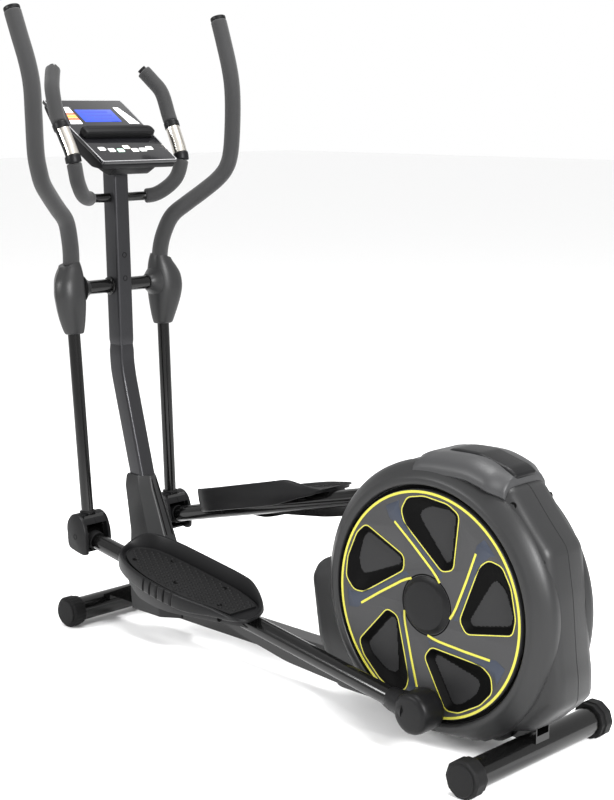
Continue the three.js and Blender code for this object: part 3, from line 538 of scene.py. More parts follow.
def cross_axle():
    """On each side a bar with a thinner pin at its end, and a flange where it meets the post."""
    bar = [(AXLE_R - 2, AXLE_START), (AXLE_R, 24), (AXLE_R, AXLE_END - 1), (AXLE_PIN_R, AXLE_END),
           (AXLE_PIN_R, AXLE_PIN_END)]
    flange = [(22, AXLE_START), (22, 25), (19, 27.5), (AXLE_R, 28)]
    axle = Solid()
    for side in (-1, 1):
        for profile in (bar, flange):
            axle.turn([(r, side * y) for r, y in profile], ARM_PIVOT.x, ARM_PIVOT.z, 48)
    axle.build("cross_shaft", "root", *PAINTED, ["cross_axle"])


# ---- fixed handlebar
BAR_HALF = [(-629, 0, 1082), (-629, 62, 1082), (-608, 112, 1088), (-583, 150, 1122), (-576, 165, 1165),
            (-584, 167, 1195), (-606, 170, 1236), (-628, 172, 1277), (-649, 168, 1333), (-669, 153, 1364),
            (-688, 135, 1392)]
GRIP_STRETCH = {"lower": (0.18, 0.466), "sensor": (0.468, 0.678), "upper": (0.68, 0.985)}


BAR_TUBE_R, BAR_FOAM_R, SENSOR_R, COLLAR_R = 11, 18, 16.4, 19
PLATE_OUTER_R, PLATE_INNER_R, PLATE_HALF_ANGLE = 17.4, 16, 100


def fixed_bar():
    half = smooth_curve(BAR_HALF)
    across = [Vector((x, -y, z)) for x, y, z in reversed(half[1:])] + half
    bar = Solid().sweep(across, ellipse(BAR_TUBE_R, BAR_TUBE_R, 32), Vector((0.3, 0, 1)))
    bar.build("handlebar_tube", "root", *PAINTED, ["fixed_handlebar"])
    for label, side in SIDES:
        for which in ("lower", "upper"):
            foam = Solid().sleeve(stretch_of(half, *GRIP_STRETCH[which], 48), BAR_FOAM_R, 4)
            piece = foam.build(f"bar_foam_{which}_{label}", "root", *FOAMED,
                               [f"fixed_grip_{which}_{label}"], mirrored(side))
        pulse_grip(label, side, stretch_of(half, *GRIP_STRETCH["sensor"], 30))


def pulse_grip(label, side, path):
    """A sleeve with a collar at each end and a steel plate wrapped round it."""
    sensor = Solid().sleeve(path, SENSOR_R, 1.5)
    for start, end in ((0.0, 0.16), (0.84, 1.0)):
        sensor.sleeve(stretch_of(path, start, end, 6), COLLAR_R, 2)
    arc = [math.radians(a) for a in range(-PLATE_HALF_ANGLE, PLATE_HALF_ANGLE + 1, 10)]
    plate = [(PLATE_OUTER_R * math.cos(a), PLATE_OUTER_R * math.sin(a)) for a in arc]
    plate += [(PLATE_INNER_R * math.cos(a), PLATE_INNER_R * math.sin(a)) for a in reversed(arc)]
    sensor.sweep(stretch_of(path, 0.17, 0.83, 16), plate, Vector((1, -0.5, 0)), mat=1)
    sensor.build(f"pulse_grip_{label}", "root", "brushed_steel", [PLASTIC, STEEL],
                 [f"pulse_sensor_{label}"], mirrored(side))


# ---- console
KEY_AXIS = Vector(JOINTS["key_press_mode"]["axis"])
PANEL_TILT = math.atan2(-KEY_AXIS.x, -KEY_AXIS.z)
PANEL_LENGTH, PANEL_TOP, PANEL_BOTTOM, PANEL_THICK = 266, 121, 116, 8


def console_frame():
    low, high = node_box("console_face")
    return local_frame(low.x + PANEL_THICK * math.sin(PANEL_TILT), high.z, PANEL_TILT)


def panel_outline(margin, r):
    return rounded([(margin, -PANEL_TOP + margin), (PANEL_LENGTH - margin, -PANEL_BOTTOM + margin),
                    (PANEL_LENGTH - margin, PANEL_BOTTOM - margin), (margin, PANEL_TOP - margin)], r)


def console():
    place = console_frame()
    face = Solid().slab(panel_outline(0, 7), -PANEL_THICK, -0.3).bevel(1.2)
    outer, inner = panel_outline(1.5, 6), panel_outline(4, 5)
    border = ((outer, -1), (outer, 0), (inner, 0), (inner, -1))
    face.loft([[(*p, z) for p in outline] for outline, z in border], loop=True, mat=1)
    for y0, y1 in ((-77, -60), (-54, 90)):
        face.slab(rounded(oblong(132, y0, 134, y1), 0.8), -1, 0, mat=1)
    face.build("console_panel", "root", "panel_black", [PANEL, SILVER], ["console_face"], place)
    display(place)
    panel_labels(place)
    ledge(place)
    console_back(place)
    keys(place)


# on the panel, the first number of a point is the distance down from its top edge
LCD_ROWS = ((52, -44, 40), (66, -44, 46), (80, -20, 46), (80, -44, -28))
LCD_ROW_HEIGHT = 8


def display(place):
    """The lit screen with darker rows on it, each given by its top and its two ends."""
    lcd = Solid().slab(rounded(oblong(44, -55, 98, 58), 3), -2, 0).bevel(0.3)
    for top, y0, y1 in LCD_ROWS:
        lcd.slab(rounded(oblong(top, y0, top + LCD_ROW_HEIGHT, y1), 1), -0.5, 0.02, mat=1)
    lcd.build("display", "root", "lcd_blue", [LCD, LCD_DARK], ["console_lcd"], place)


LEFT_LABEL = [(33, -79), (33, -64), (106, -68), (106, -104)]
RIGHT_LABEL = [(35, 71), (35, 88), (107, 108), (107, 76)]
LABEL_BANDS = ((0.35, 0.47, 1), (0.48, 0.64, 2), (0.65, 0.78, 1))


def label_band(start, end):
    """The part of the left label between two fractions of its height."""
    top, top_in, low_in, low = (Vector(corner) for corner in LEFT_LABEL)
    upper = [top.lerp(low, start), top_in.lerp(low_in, start)]
    lower = [top_in.lerp(low_in, end), top.lerp(low, end)]
    return [tuple(corner) for corner in upper + lower]


def panel_labels(place):
    labels = Solid().slab(rounded(LEFT_LABEL, 2), -1, 0)
    for start, end, mat in LABEL_BANDS:
        labels.slab(label_band(start, end), -0.5, 0.06, mat=mat)
    labels.slab(rounded(RIGHT_LABEL, 2), -1, 0)
    labels.build("panel_labels", "root", "key_white", [LABEL, LABEL_RED, LABEL_ORANGE], place=place)


LEDGE_TOP, LEDGE_FOOT = 141, 171


def ledge(place):
    shelf = Solid().slab(rounded(oblong(LEDGE_TOP, -108, LEDGE_FOOT, 108), 13, 6), 0.4, 19.5).bevel(4)
    shelf.slab(rounded(oblong(LEDGE_TOP + 3, -92, LEDGE_FOOT - 16, 92), 3), 19, 20).bevel(0.3)
    shelf.build("ledge", "root", *MOULDED, ["tablet_ledge"], place)


LOUVRES, LOUVRE_PITCH = 5, 18


def console_back(place):
    """A shallow tray behind the panel, a block for the post and a row of louvres on each side."""
    back = Solid()
    top = -PANEL_THICK - 0.4
    shallow = [(1, top), (265, top), (265, top - 14), (230, top - 30), (60, top - 34), (3, top - 12)]
    block = [(90, top - 20), (261, top - 12), (240, top - 51), (110, top - 71)]
    back.prism(rounded(shallow, 8), -111, 111)
    back.prism(rounded(block, 10), -61, 61)
    back.bevel(5)
    for number in range(LOUVRES):
        u = 120 + LOUVRE_PITCH * number
        for y0, y1 in ((70, 100), (-100, -70)):
            back.prism(oblong(u, top - 30, u + 5, top - 35), y0, y1)
    back.build("console_housing", "root", *MOULDED, ["console_back"], place)


KEY_LOOKS = {"start": KEY_GREEN, "up": KEY_CREAM}


KEYS = ("mode", "set", "start", "up", "stop", "reset", "recovery")
KEY_HALF_U, KEY_HALF_Y, KEY_CORNER = 6.5, 9.5, 2.5
KEY_DOME = ((-5, 0), (0.6, 0), (1.1, 0.4), (1.4, 1.2))


def keys(place):
    """Domed caps with a plain dark bar as their only mark."""
    for name in KEYS:
        at = place.inverted() @ middle(f"key_{name}")
        low = (at.x - KEY_HALF_U, at.y - KEY_HALF_Y)
        high = (at.x + KEY_HALF_U, at.y + KEY_HALF_Y)
        cap = Solid().stepped_slab(rounded(oblong(*low, *high), KEY_CORNER), KEY_DOME)
        cap.slab(oblong(at.x - 1, at.y - 4, at.x + 1, at.y + 4), 1.2, 1.48, mat=1)
        look = KEY_LOOKS.get(name, KEY_WHITE)
        cap.build(f"button_{name}", f"key_{name}", "key_white", [look, GRAPHITE], [f"key_{name}"], place)


# ---- drive housing
RIM_R, RIM_Y, RIM_BULGE, SHOULDER_Y, OPENING_R, WEB_Y = 262, 97, 295, 62, 246, 78
FLOOR_CLEAR_Z = 48


def housing_outline():
    """The housing from the side: an arc round the crank, then the front, the underside and the rear."""
    angles = [math.radians(72 + 100 * i / 24) for i in range(25)]
    arc = [(CRANK.x + RIM_BULGE * math.cos(a), CRANK.z + RIM_BULGE * math.sin(a)) for a in angles]
    straight = [(108, 326), (90, 292), (112, 155), (150, 88), (170, 48), (618, 48), (626, 74), (694, 94),
                (763, 160), (763, 210), (757, 245), (744, 372), (727, 466), (681, 517), (632, 577)]
    return rounded(arc + straight, 14, 3)


def above_floor(angle, r):
    """Radius of a ring round the crank, cut level where it would reach below the clear height."""
    drop = FLOOR_CLEAR_Z - CRANK.z
    return r if math.sin(angle) * r > drop else drop / math.sin(angle)


# distance out from the middle plane, and how far the outline is drawn in there
SHELL_STEPS = ((0.2, 1.4), (1.2, 0.1), (38, 1), (50, 4), (58, 9), (63, 17), (65, 26))
HOUSING_SCREWS = ((712, 446), (742, 192), (640, 545), (140, 120))


def housing():
    outline = housing_outline()
    rim = [(40, WEB_Y - 3), (RIM_BULGE - 3, SHOULDER_Y - 20), (RIM_BULGE, SHOULDER_Y - 8),
           (RIM_BULGE - 1, SHOULDER_Y + 2), (RIM_BULGE - 8, 75), (RIM_BULGE - 19, 85),
           (RIM_R + 6, RIM_Y - 5.5), (RIM_R + 1, RIM_Y - 1.5), (RIM_R - 3, RIM_Y - 0.2), (RIM_R - 9, RIM_Y),
           (OPENING_R + 4, RIM_Y - 0.4), (OPENING_R + 1.5, RIM_Y - 2), (OPENING_R + 0.4, RIM_Y - 5),
           (OPENING_R, WEB_Y), (40, WEB_Y)]
    # the web behind the disc takes the deep black second material: painted shade filling the gap between
    # the disc's edge and the opening
    web = [(OPENING_R - 1, WEB_Y - 1), (OPENING_R - 1, WEB_Y + 0.4), (60, WEB_Y + 0.4), (60, WEB_Y - 1)]
    for label, side in SIDES:
        shell = Solid().stepped_prism(outline, SHELL_STEPS)
        shell.turn(rim, CRANK.x, CRANK.z, 160, above_floor, loop=True)
        shell.turn(web, CRANK.x, CRANK.z, 96, loop=True, mat=1)
        shell.build(f"housing_{label}", "root", *SATIN_SHELL, [f"shell_{label}"], mirrored(side))
        centres = [(x, side * 61, z) for x, z in HOUSING_SCREWS]
        screw_row(f"housing_screw_{label}", "root", centres, (0.2, side, 0), radius=5.5)
    top_cover()


TOP_LINE = [(404, 610), (418, 617), (436, 620), (470, 624), (535, 624.5), (575, 616), (604, 605),
            (624, 596)]
SIDE_DROP = 38


COVER_HALF, COVER_TAPER, TAPER_START, TAPER_END = 86, 18, 585, 626
RIDGE = [(446, 600), (456, 626), (478, 629), (535, 629), (608, 610), (628, 597), (618, 580)]
RIDGE_STEPS = ((-38, 9), (-36, 4), (-31, 0.8), (-26, 0), (26, 0), (31, 0.8), (36, 4), (38, 9))


def cover_section(x, top, cut=0.0):
    """The cover's outline across the housing at x, drawn in by cut."""
    side = COVER_HALF - COVER_TAPER * ease(x, TAPER_START, TAPER_END) - cut
    shoulder = CRANK.z + math.sqrt((RIM_BULGE - 19) ** 2 - (x - CRANK.x) ** 2)
    foot = max(shoulder, top - SIDE_DROP)
    flank = (top + foot) / 2
    half = [(0, top - cut), (side - 46, top - cut), (side - 32, top - 1.5 - cut),
            (side - 22, top - 7 - cut), (side - 12, (top * 2 + foot) / 3 - cut), (side - 2, flank - 6),
            (side, flank - 14), (side, foot - 2), (side - 4, foot - 6)]
    points = [(-y, z) for y, z in half] + [(y, z) for y, z in reversed(half[1:])]
    return [(x, y, z) for y, z in points]


def top_cover():
    """A saddle over the housing, whose top follows TOP_LINE, with a raised ridge along its middle."""
    levels = smooth_levels(TOP_LINE, 5)
    (front, front_top), (rear, rear_top) = levels[0], levels[-1]
    rings = [cover_section(front + 0.2, front_top, 4), cover_section(front + 1, front_top, 1.2)]
    rings += [cover_section(x, z) for x, z in levels[1:-1]]
    rings += [cover_section(rear - 1, rear_top, 1.2), cover_section(rear, rear_top, 4)]
    cover = Solid().loft(rings)
    cover.build("housing_cap", "root", "grey_plastic", [PALE_PLASTIC], ["shell_top_cover"], smooth=30)
    raised = Solid().stepped_prism(rounded(RIDGE, 7), RIDGE_STEPS)
    raised.build("housing_cap_ridge", "root", *MOULDED)


# ---- crank discs
DISC_R, DISC_BACK, DISC_FACE, RECESS = 237, 81.5, 95, 83
BLADES = 5


def polar(r, degrees):
    return (r * math.cos(math.radians(degrees)), r * math.sin(math.radians(degrees)))


# one window, the grille at its foot, a flare and a stripe, as (radius, angle); BLADES of each go round
WINDOW = [(198, 38), (219, 32), (222, 21), (221, 5), (214, -3), (110, -18), (90, -8), (172, 38)]
GRILLE_EDGE = [(186, 28), (197, 25), (206, 19), (213, 6), (208, -0.5), (114, -12), (100, -6), (172, 27)]
FLARE = [(219, 49), (219, 38), (208, 40), (182, 40), (119, 26), (83, -10), (72, -14), (86, 10), (160, 43),
         (193, 50)]
STRIPE = [(63, -14), (69, -3), (77, 8), (126, 36), (181, 47)]


def blade(points, turn):
    return [polar(r, a + turn) for r, a in points]


def window_outline(turn, points=WINDOW):
    return rounded(blade(points, turn), 9, 4)


def inside(point, outline):
    """Whether a point is inside a closed outline."""
    x, y = point
    hit = False
    for (x0, y0), (x1, y1) in zip(outline, outline[1:] + outline[:1]):
        if (y0 > y) != (y1 > y) and x < (x1 - x0) * (y - y0) / (y1 - y0) + x0:
            hit = not hit
    return hit


def disc_face(solid, windows):
    """The flat front with the windows left out, filled between its loops."""
    circle = [polar(DISC_R - 3, 360 * i / 160) for i in range(160)]
    loops = [[Vector((x, DISC_FACE, z)) for x, z in outline] for outline in [circle] + windows]
    corners = [solid.bm.verts.new(p) for loop in loops for p in loop]
    for triangle in tessellate_polygon(loops):
        solid.bm.faces.new([corners[i] for i in triangle])


def grille(solid, outline):
    """A woven patch on the recess floor: a fine grid whose points rise and fall by turns."""
    pitch, rise = 2.4, 0.9
    xs, zs = [p[0] for p in outline], [p[1] for p in outline]
    cells = {}
    for i in range(int(min(xs) // pitch), int(max(xs) // pitch) + 2):
        for j in range(int(min(zs) // pitch), int(max(zs) // pitch) + 2):
            if inside((i * pitch, j * pitch), outline):
                height = RECESS + 0.4 + (rise if (i + j) % 2 else 0)
                cells[i, j] = solid.bm.verts.new((i * pitch, height, j * pitch))
    for i, j in list(cells):
        corners = [cells.get(k) for k in ((i, j), (i + 1, j), (i + 1, j + 1), (i, j + 1))]
        if all(corners):
            solid.bm.faces.new(corners).material_index = 1


def disc(label, side):
    place = Matrix.Translation((CRANK.x, 0, CRANK.z)) @ mirrored(side)
    turns = [360 / BLADES * k for k in range(BLADES)]
    windows = [window_outline(turn) for turn in turns]
    disc_body(label, place, turns, windows)
    disc_lines(label, place, turns, windows)
    disc_flares(label, place, turns)
    hub_cover(label, place)


BOSS_R, BOSS_TOP = 24, 103


def disc_body(label, place, turns, windows):
    """The face and back, the sloped walls and woven floors of the windows, and the boss for the pin."""
    made = Solid()
    grown = [inset(window, -1.5) for window in windows]
    disc_face(made, grown)
    edge = [(DISC_R - 3, DISC_FACE), (DISC_R - 1, DISC_FACE - 0.4), (DISC_R, DISC_FACE - 2),
            (DISC_R, DISC_BACK), (1, DISC_BACK)]
    made.turn(edge, segments=160, capped=False)
    for turn, window, wide in zip(turns, windows, grown):
        foot = window_outline(turn, GRILLE_EDGE)
        # the sloped walls of each window and the plate under its grille take the deep black third material:
        # painted shade in the recess
        rings = [(wide, DISC_FACE), (inset(window, -0.6), DISC_FACE - 0.5), (window, DISC_FACE - 1.5),
                 (inset(window, 2), DISC_FACE - 4), (foot, RECESS)]
        made.loft([[(x, y, z) for x, z in ring] for ring, y in rings], capped=False, mat=2)
        made.prism(foot, RECESS, RECESS - 0.5, mat=2)
        grille(made, inset(foot, 1.5))
    bmesh.ops.remove_doubles(made.bm, verts=made.bm.verts, dist=0.02)
    pin = place.inverted() @ middle(f"rail_end_cover_{label}")
    boss = [(BOSS_R, DISC_FACE - 1), (BOSS_R, BOSS_TOP - 1), (BOSS_R - 1, BOSS_TOP), (AXIS_R, BOSS_TOP)]
    made.turn(boss, pin.x, pin.z, 48)
    made.build(f"drive_disc_{label}", "crank", "disc_plastic", [DISC, GRILLE, BLACK_AND_SHADE],
               [f"crank_disc_{label}"], place)


def disc_lines(label, place, turns, windows):
    """The yellow rim, the line round each window and the stripe beside it, just proud of the face."""
    under, over, rim_top = DISC_FACE - 0.5, DISC_FACE + 0.5, DISC_FACE + 0.6
    rim = [(DISC_R - 7, DISC_FACE - 1), (DISC_R - 6.8, rim_top), (DISC_R - 1.7, rim_top),
           (DISC_R - 1.5, DISC_FACE - 1)]
    lines = Solid().turn(rim, segments=200, loop=True)
    border = ((-4.6, under), (-4.4, over), (-2.4, over), (-2.2, under))
    section = rounded(oblong(-0.9, -2.6, 0.9, 2.6), 0.8)
    for turn, window in zip(turns, windows):
        lines.loft([[(x, y, z) for x, z in inset(window, cut)] for cut, y in border], loop=True)
        path = [Vector((x, DISC_FACE, z)) for x, z in blade(STRIPE, turn)]
        lines.sweep(path, section, Vector((0, 1, 0)))
    lines.build(f"disc_lines_{label}", "crank", "disc_plastic", [YELLOW], place=place)


def disc_flares(label, place, turns):
    steps = ((DISC_FACE - 0.6, 0), (DISC_FACE + 0.25, 0), (DISC_FACE + 0.5, 0.5))
    flares = Solid()
    for turn in turns:
        flares.stepped_prism(rounded(blade(FLARE, turn), 4, 3), steps)
    flares.build(f"disc_flares_{label}", "crank", "disc_plastic", [SLATE], place=place)


def hub_cover(label, place):
    """A low dome over the end of the crank axle, with a flat black ring round it: painted shade standing
    for the groove between cap and disc.
    """
    top = abs(node_box("crank_axle")[0].y) + 1.5
    dome = [(60.5, DISC_FACE + 0.2), (60.5, DISC_FACE + 0.9), (59.5, DISC_FACE + 1.4), (57, DISC_FACE + 2),
            (50, top - 1.2), (40, top - 0.3), (30, top), (AXIS_R, top)]
    # the groove is not cut in: a flush ring in deep black paints its shade
    groove = [(61.5, DISC_FACE - 0.4), (61.5, DISC_FACE + 0.15), (64.5, DISC_FACE + 0.15),
              (64.5, DISC_FACE - 0.4)]
    cap = Solid().turn(dome, segments=96)
    cap.turn(groove, segments=96, loop=True, mat=1)
    cap.build(f"hub_cover_{label}", "crank", "charcoal_plastic", [PLASTIC, BLACK_AND_SHADE], [f"hub_cap_{label}"],
              place)


# ---- swing arms
HANDLE = [(0, 141, 22), (5, 138, 72), (14, 145, 118), (29, 163, 163), (48, 198, 193), (68, 231, 219),
          (90, 266, 250), (105, 285, 280), (112, 295, 322), (119, 298, 400), (121, 298, 470),
          (112, 299, 525), (92, 301, 590), (72, 302, 652)]
# the knee cover from foot to mouth: height, inner edge, outer edge, half width fore and aft
KNEE = [(-107, 121, 163, 21), (-103, 119, 167, 24), (-86, 116, 174, 29), (-61, 113.5, 184, 35),
        (-36, 112, 192, 40), (-10, 111.5, 196, 42), (20, 112, 192, 39), (41, 114, 183, 33),
        (56, 117, 173, 27), (63, 119, 169, 24.5)]


def knee_ring(z, y0, y1, half_x):
    """The cover's outline at a height, with a flat cut on its outer rear side and a sloping mouth."""
    facet = Vector((-0.55, 0.83)).normalized()
    middle_y, half_y = (y0 + y1) / 2, (y1 - y0) / 2
    slope = 0.32 * ease(z, 0, 63)
    cut = (0.72 + 0.22 * ease(abs(z + 10), 10, 95)) * math.hypot(facet.x * half_x, facet.y * half_y)
    ring = []
    for a, b in ellipse(half_x, half_y, 96, 2.3):
        over = max(0, a * facet.x + b * facet.y - cut)
        a, b = a - facet.x * over, b - facet.y * over
        ring.append((a, middle_y + b, z - slope * b))
    return ring


def knee_cover(label, place):
    """A rounded shell with a lip inside its mouth and a collar round the axle; the lip is deep black,
    painted shade inside the mouth.
    """
    rings = [knee_ring(*row) for row in smooth_levels(KNEE, 4)]
    body = Solid().loft(rings)
    # the lip and the wall inside the mouth take the deep black second material as painted shade
    lip = [(x * 0.86, ARM_Y + (y - ARM_Y) * 0.86, z - 1) for x, y, z in rings[-1]]
    floor = [(x, y, z - 8) for x, y, z in lip]
    body.loft([rings[-1], lip, floor], capped=False, mat=1)
    collar = [(18.6, 94), (20, 94.5), (22, 99), (26, 106), (33, 112), (38, 118), (20, 119)]
    body.turn(collar, segments=64)
    body.build(f"knee_shell_{label}", f"arm_{label}", *SATIN_SHELL,
               [f"knee_cover_{label}"], place, smooth=24)
    screw(f"knee_screw_{label}", f"arm_{label}", (33.5, 150, 33), (1, 0.1, 0.3), place)


HANDLE_R, HANDLE_FOAM_R, PLUG_R, ARM_R, ARM_HUB_R, ARM_HUB_HALF = 15.5, 20, 19.4, 15, 20, 30
ARM_FOOT = -ARM_LENGTH


def arms():
    for label, side in SIDES:
        place = arm_frame(label, side)
        handle(label, place)
        knee_cover(label, place)
        lower_arm(label, place)
        clevis(label, place)


def handle(label, place):
    body = f"arm_{label}"
    curve = smooth_curve(HANDLE)
    tube = Solid().sweep(stretch_of(curve, 0, 0.99, 130), ellipse(HANDLE_R, HANDLE_R, 32))
    tube.build(f"handle_bar_{label}", body, *PAINTED, [f"handle_tube_{label}"], place)
    foam = Solid().sleeve(stretch_of(curve, 0.05, 0.985, 130), HANDLE_FOAM_R, 4)
    grip = foam.build(f"handle_foam_{label}", body, *FOAMED, [f"handle_grip_{label}"], place)
    plug = Solid().sleeve(stretch_of(curve, 0.984, 0.9985, 8), PLUG_R, 3)
    plug.build(f"handle_plug_{label}", body, *MOULDED, place=place)


def lower_arm(label, place):
    """The tube, its hub on the axle and the fork that holds the rail."""
    tube = [Vector((0, ARM_Y, -ARM_R)), Vector((0, ARM_Y, ARM_FOOT + 50))]
    arm = Solid().sweep(tube, ellipse(ARM_R, ARM_R, 48))
    arm.turn([(ARM_HUB_R, ARM_Y - ARM_HUB_HALF), (ARM_HUB_R, ARM_Y + ARM_HUB_HALF)], segments=48)
    cheek = rounded([(-24, ARM_FOOT + 54), (24, ARM_FOOT + 54), (26, ARM_FOOT), (14, ARM_FOOT - 24),
                     (-14, ARM_FOOT - 24), (-26, ARM_FOOT)], 12)
    for near, far in ((-30, -24), (24, 30)):
        arm.prism(cheek, ARM_Y + near, ARM_Y + far)
    arm.prism(oblong(-23, ARM_FOOT + 45, 23, ARM_FOOT + 57), ARM_Y - 29, ARM_Y + 29)
    arm.build(f"lower_arm_{label}", f"arm_{label}", *PAINTED, [f"swing_arm_{label}"], place)


def clevis(label, place):
    """Two rounded cheeks joined by a wall that runs round the fork and is open behind for the rail."""
    body = f"arm_{label}"
    foot = ARM_FOOT
    outline = rounded([(-36, foot - 22), (18, foot - 38), (35, foot - 36), (37, foot + 18), (26, foot + 50),
                       (4, foot + 64), (-16, foot + 61), (-36, foot + 38)], 14, 5)
    cover = Solid()
    for way in (-1, 1):
        cover.stepped_prism(outline, ((30.6, 0), (37.6, 0), (39.3, 0.8), (40, 2.5)), ARM_Y, way)
    behind = [x > 14 and foot - 40 < z < foot + 36 for x, z in outline]
    start = behind.index(True)
    order = [(start + k) % len(outline) for k in range(len(outline))]
    kept = [i for i in order if not behind[i]]
    within = inset(outline, 5)
    wall = [outline[i] for i in kept] + [within[i] for i in reversed(kept)]
    for y0, y1 in ((-31, -0.4), (0.4, 31)):
        cover.prism(wall, ARM_Y + y0, ARM_Y + y1)
    cover.build(f"clevis_shell_{label}", body, *MOULDED, [f"clevis_cover_{label}"], place)
    profile = [(15.5, -3), (19, -2.5), (19.6, 0), (19, 2.5), (15.5, 3)]
    collar = Solid().turn(profile, segments=40, loop=True)
    up = Matrix.Translation((0, ARM_Y, foot + 63)) @ Matrix.Rotation(math.pi / 2, 4, "X")
    collar.build(f"arm_ring_{label}", body, *RUBBERY, place=place @ up)
    screw(f"clevis_screw_{label}", body, (-4, ARM_Y + 40, foot + 6), (0, 1, 0), place, radius=5)


# ---- rails and foot trays
TRAY_PLAN = [(158, 112), (196, 84), (268, 75), (400, 74), (489, 77), (562, 95), (602, 134), (615, 178),
             (598, 208), (528, 224), (430, 244), (330, 245), (240, 228), (176, 196), (147, 152)]
TRAY_FLOOR, INNER_RIM, OUTER_RIM, TAIL_RIM = 24, 63, 35, 31
SLOTS = [324 + 24 * k for k in range(5)]


def rim_height(x, y):
    """High along the inner side and low along the outer side, falling towards the tail."""
    side = INNER_RIM + (OUTER_RIM - INNER_RIM) * ease(y, 92, 165)
    return side + (TAIL_RIM - side) * ease(x, 500, 600)


def wall_foot(x, y):
    """The lower edge of the walls: deep along the sides, lifted in an arch over the rail at the tail."""
    deep = 5 - 5 * ease(y, 150, 220)
    return deep + (TRAY_FLOOR - 7 - deep) * ease(x, 440, 570) + 8 * ease(x, 560, 612)


def slot_depth(x, y, depth):
    """How far the outer wall is drawn in at its upright slots."""
    near = min(abs(x - slot) for slot in SLOTS)
    return depth * (1 - ease(near, 1.6, 3)) if y > 200 else 0


# from under the floor round the wall and back: how far drawn in, the level that the height is taken from,
# the rise above it and the depth of the slots there
TRAY_RINGS = ((20, "floor", -4, 0), (8, "floor", -5, 0), (6.5, "foot", 0, 0), (4.5, "foot", 0, 0),
              (2.6, "foot", 1.4, 2), (1.4, "foot", 4, 5), (0.2, "half", 0, 5), (1, "rim", -5, 4.4),
              (2.4, "rim", -1.4, 0.6), (4.6, "rim", 0, 0), (7, "rim", -0.8, 0), (9, "rim", -3.4, 0),
              (12, "floor", 4, 0), (13, "floor", 0.6, 0), (16, "floor", 0, 0))


def tray(label, body, place):
    plan = [(p.x, p.y) for p in smooth_curve([(x, y, 0) for x, y in TRAY_PLAN], 40, closed=True)]
    rings = []
    for cut, level, rise, depth in TRAY_RINGS:
        ring = []
        for (x, y), (moved_x, moved_y) in zip(plan, inset(plan, cut)):
            foot, rim = wall_foot(x, y), rim_height(x, y)
            heights = {"floor": TRAY_FLOOR, "foot": foot, "half": foot + (rim - foot) * 0.5, "rim": rim}
            ring.append((moved_x, moved_y - slot_depth(x, y, depth), heights[level] + rise))
        rings.append(ring)
    made = Solid().loft(rings)
    made.build(f"foot_tray_{label}", body, *MOULDED, [f"pedal_tray_{label}"], place)
    skirt(label, body, place)
    tread(label, body, place, plan)


SKIRT_TOP = [(226, 212, 8), (320, 230, 8), (430, 231, 8), (520, 212, 12), (590, 188, 20)]
SKIRT_FOOT = [(240, 206, -26), (290, 216, -37), (376, 222, -31), (462, 214, -16), (604, 180, 6)]


def skirt(label, body, place):
    """The dark panel that hangs below the tray's outer wall."""
    inward = Vector((0, -5, 0))
    rings = []
    for a, b in zip(smooth_curve(SKIRT_TOP, 10), smooth_curve(SKIRT_FOOT, 10)):
        bulge = a.lerp(b, 0.45) + Vector((0, 3, 0))
        rings.append([a, bulge, b, b + inward, bulge + inward, a + inward])
    panel = Solid().loft(rings)
    panel.build(f"tray_skirt_{label}", body, *MOULDED, place=place)
    screw(f"tray_screw_{label}", body, (545, 209, 10), (0.2, 1, 0), place)


STUD_PITCH, STUD_COLUMNS, STUD_ROWS, TREAD_TAIL = 16, 42, 14, 566
TREAD_SCREWS = ((220, 183), (275, 113), (372, 188), (456, 114), (518, 185))


def tread(label, body, place, plan):
    """A rubber mat with a raised border and staggered studs."""
    outline = [(min(x, TREAD_TAIL), y) for x, y in inset(plan, 18)]
    low, high = TRAY_FLOOR + 0.3, TRAY_FLOOR + 4
    border = ((low, 0), (high + 0.8, 0), (high + 1.4, 0.8), (high + 1.4, 2.4), (high, 3.2))
    mat = Solid().stepped_slab(outline, border)
    field = inset(outline, 10)
    stud = ((5, high - 0.3), (4.7, high + 1.2), (3.4, high + 2.3), (1, high + 2.6))
    for i in range(STUD_COLUMNS):
        for j in range(STUD_ROWS):
            x, y = 165 + i * STUD_PITCH * 0.87, 80 + (j + 0.5 * (i % 2)) * STUD_PITCH
            if inside((x, y), field):
                mat.loft([[(x + a, y + b, z) for a, b in ellipse(r, r, 12)] for r, z in stud])
    mat.build(f"tread_mat_{label}", body, *RUBBERY, [f"pedal_tread_{label}"], place)
    centres = [(x, y, high + 1.6) for x, y in TREAD_SCREWS]
    screw_row(f"tread_screw_{label}", body, centres, (0, 0, 1), place, radius=4)


RAIL_R, DRUM_R, DRUM_HALF = 20, 22, 22


def rails():
    for label, side in SIDES:
        place = rail_frame(label, side)
        body = f"rail_{label}"
        rail_tube(label, body, place)
        tray(label, body, place)
        rail_end(label, body, place)


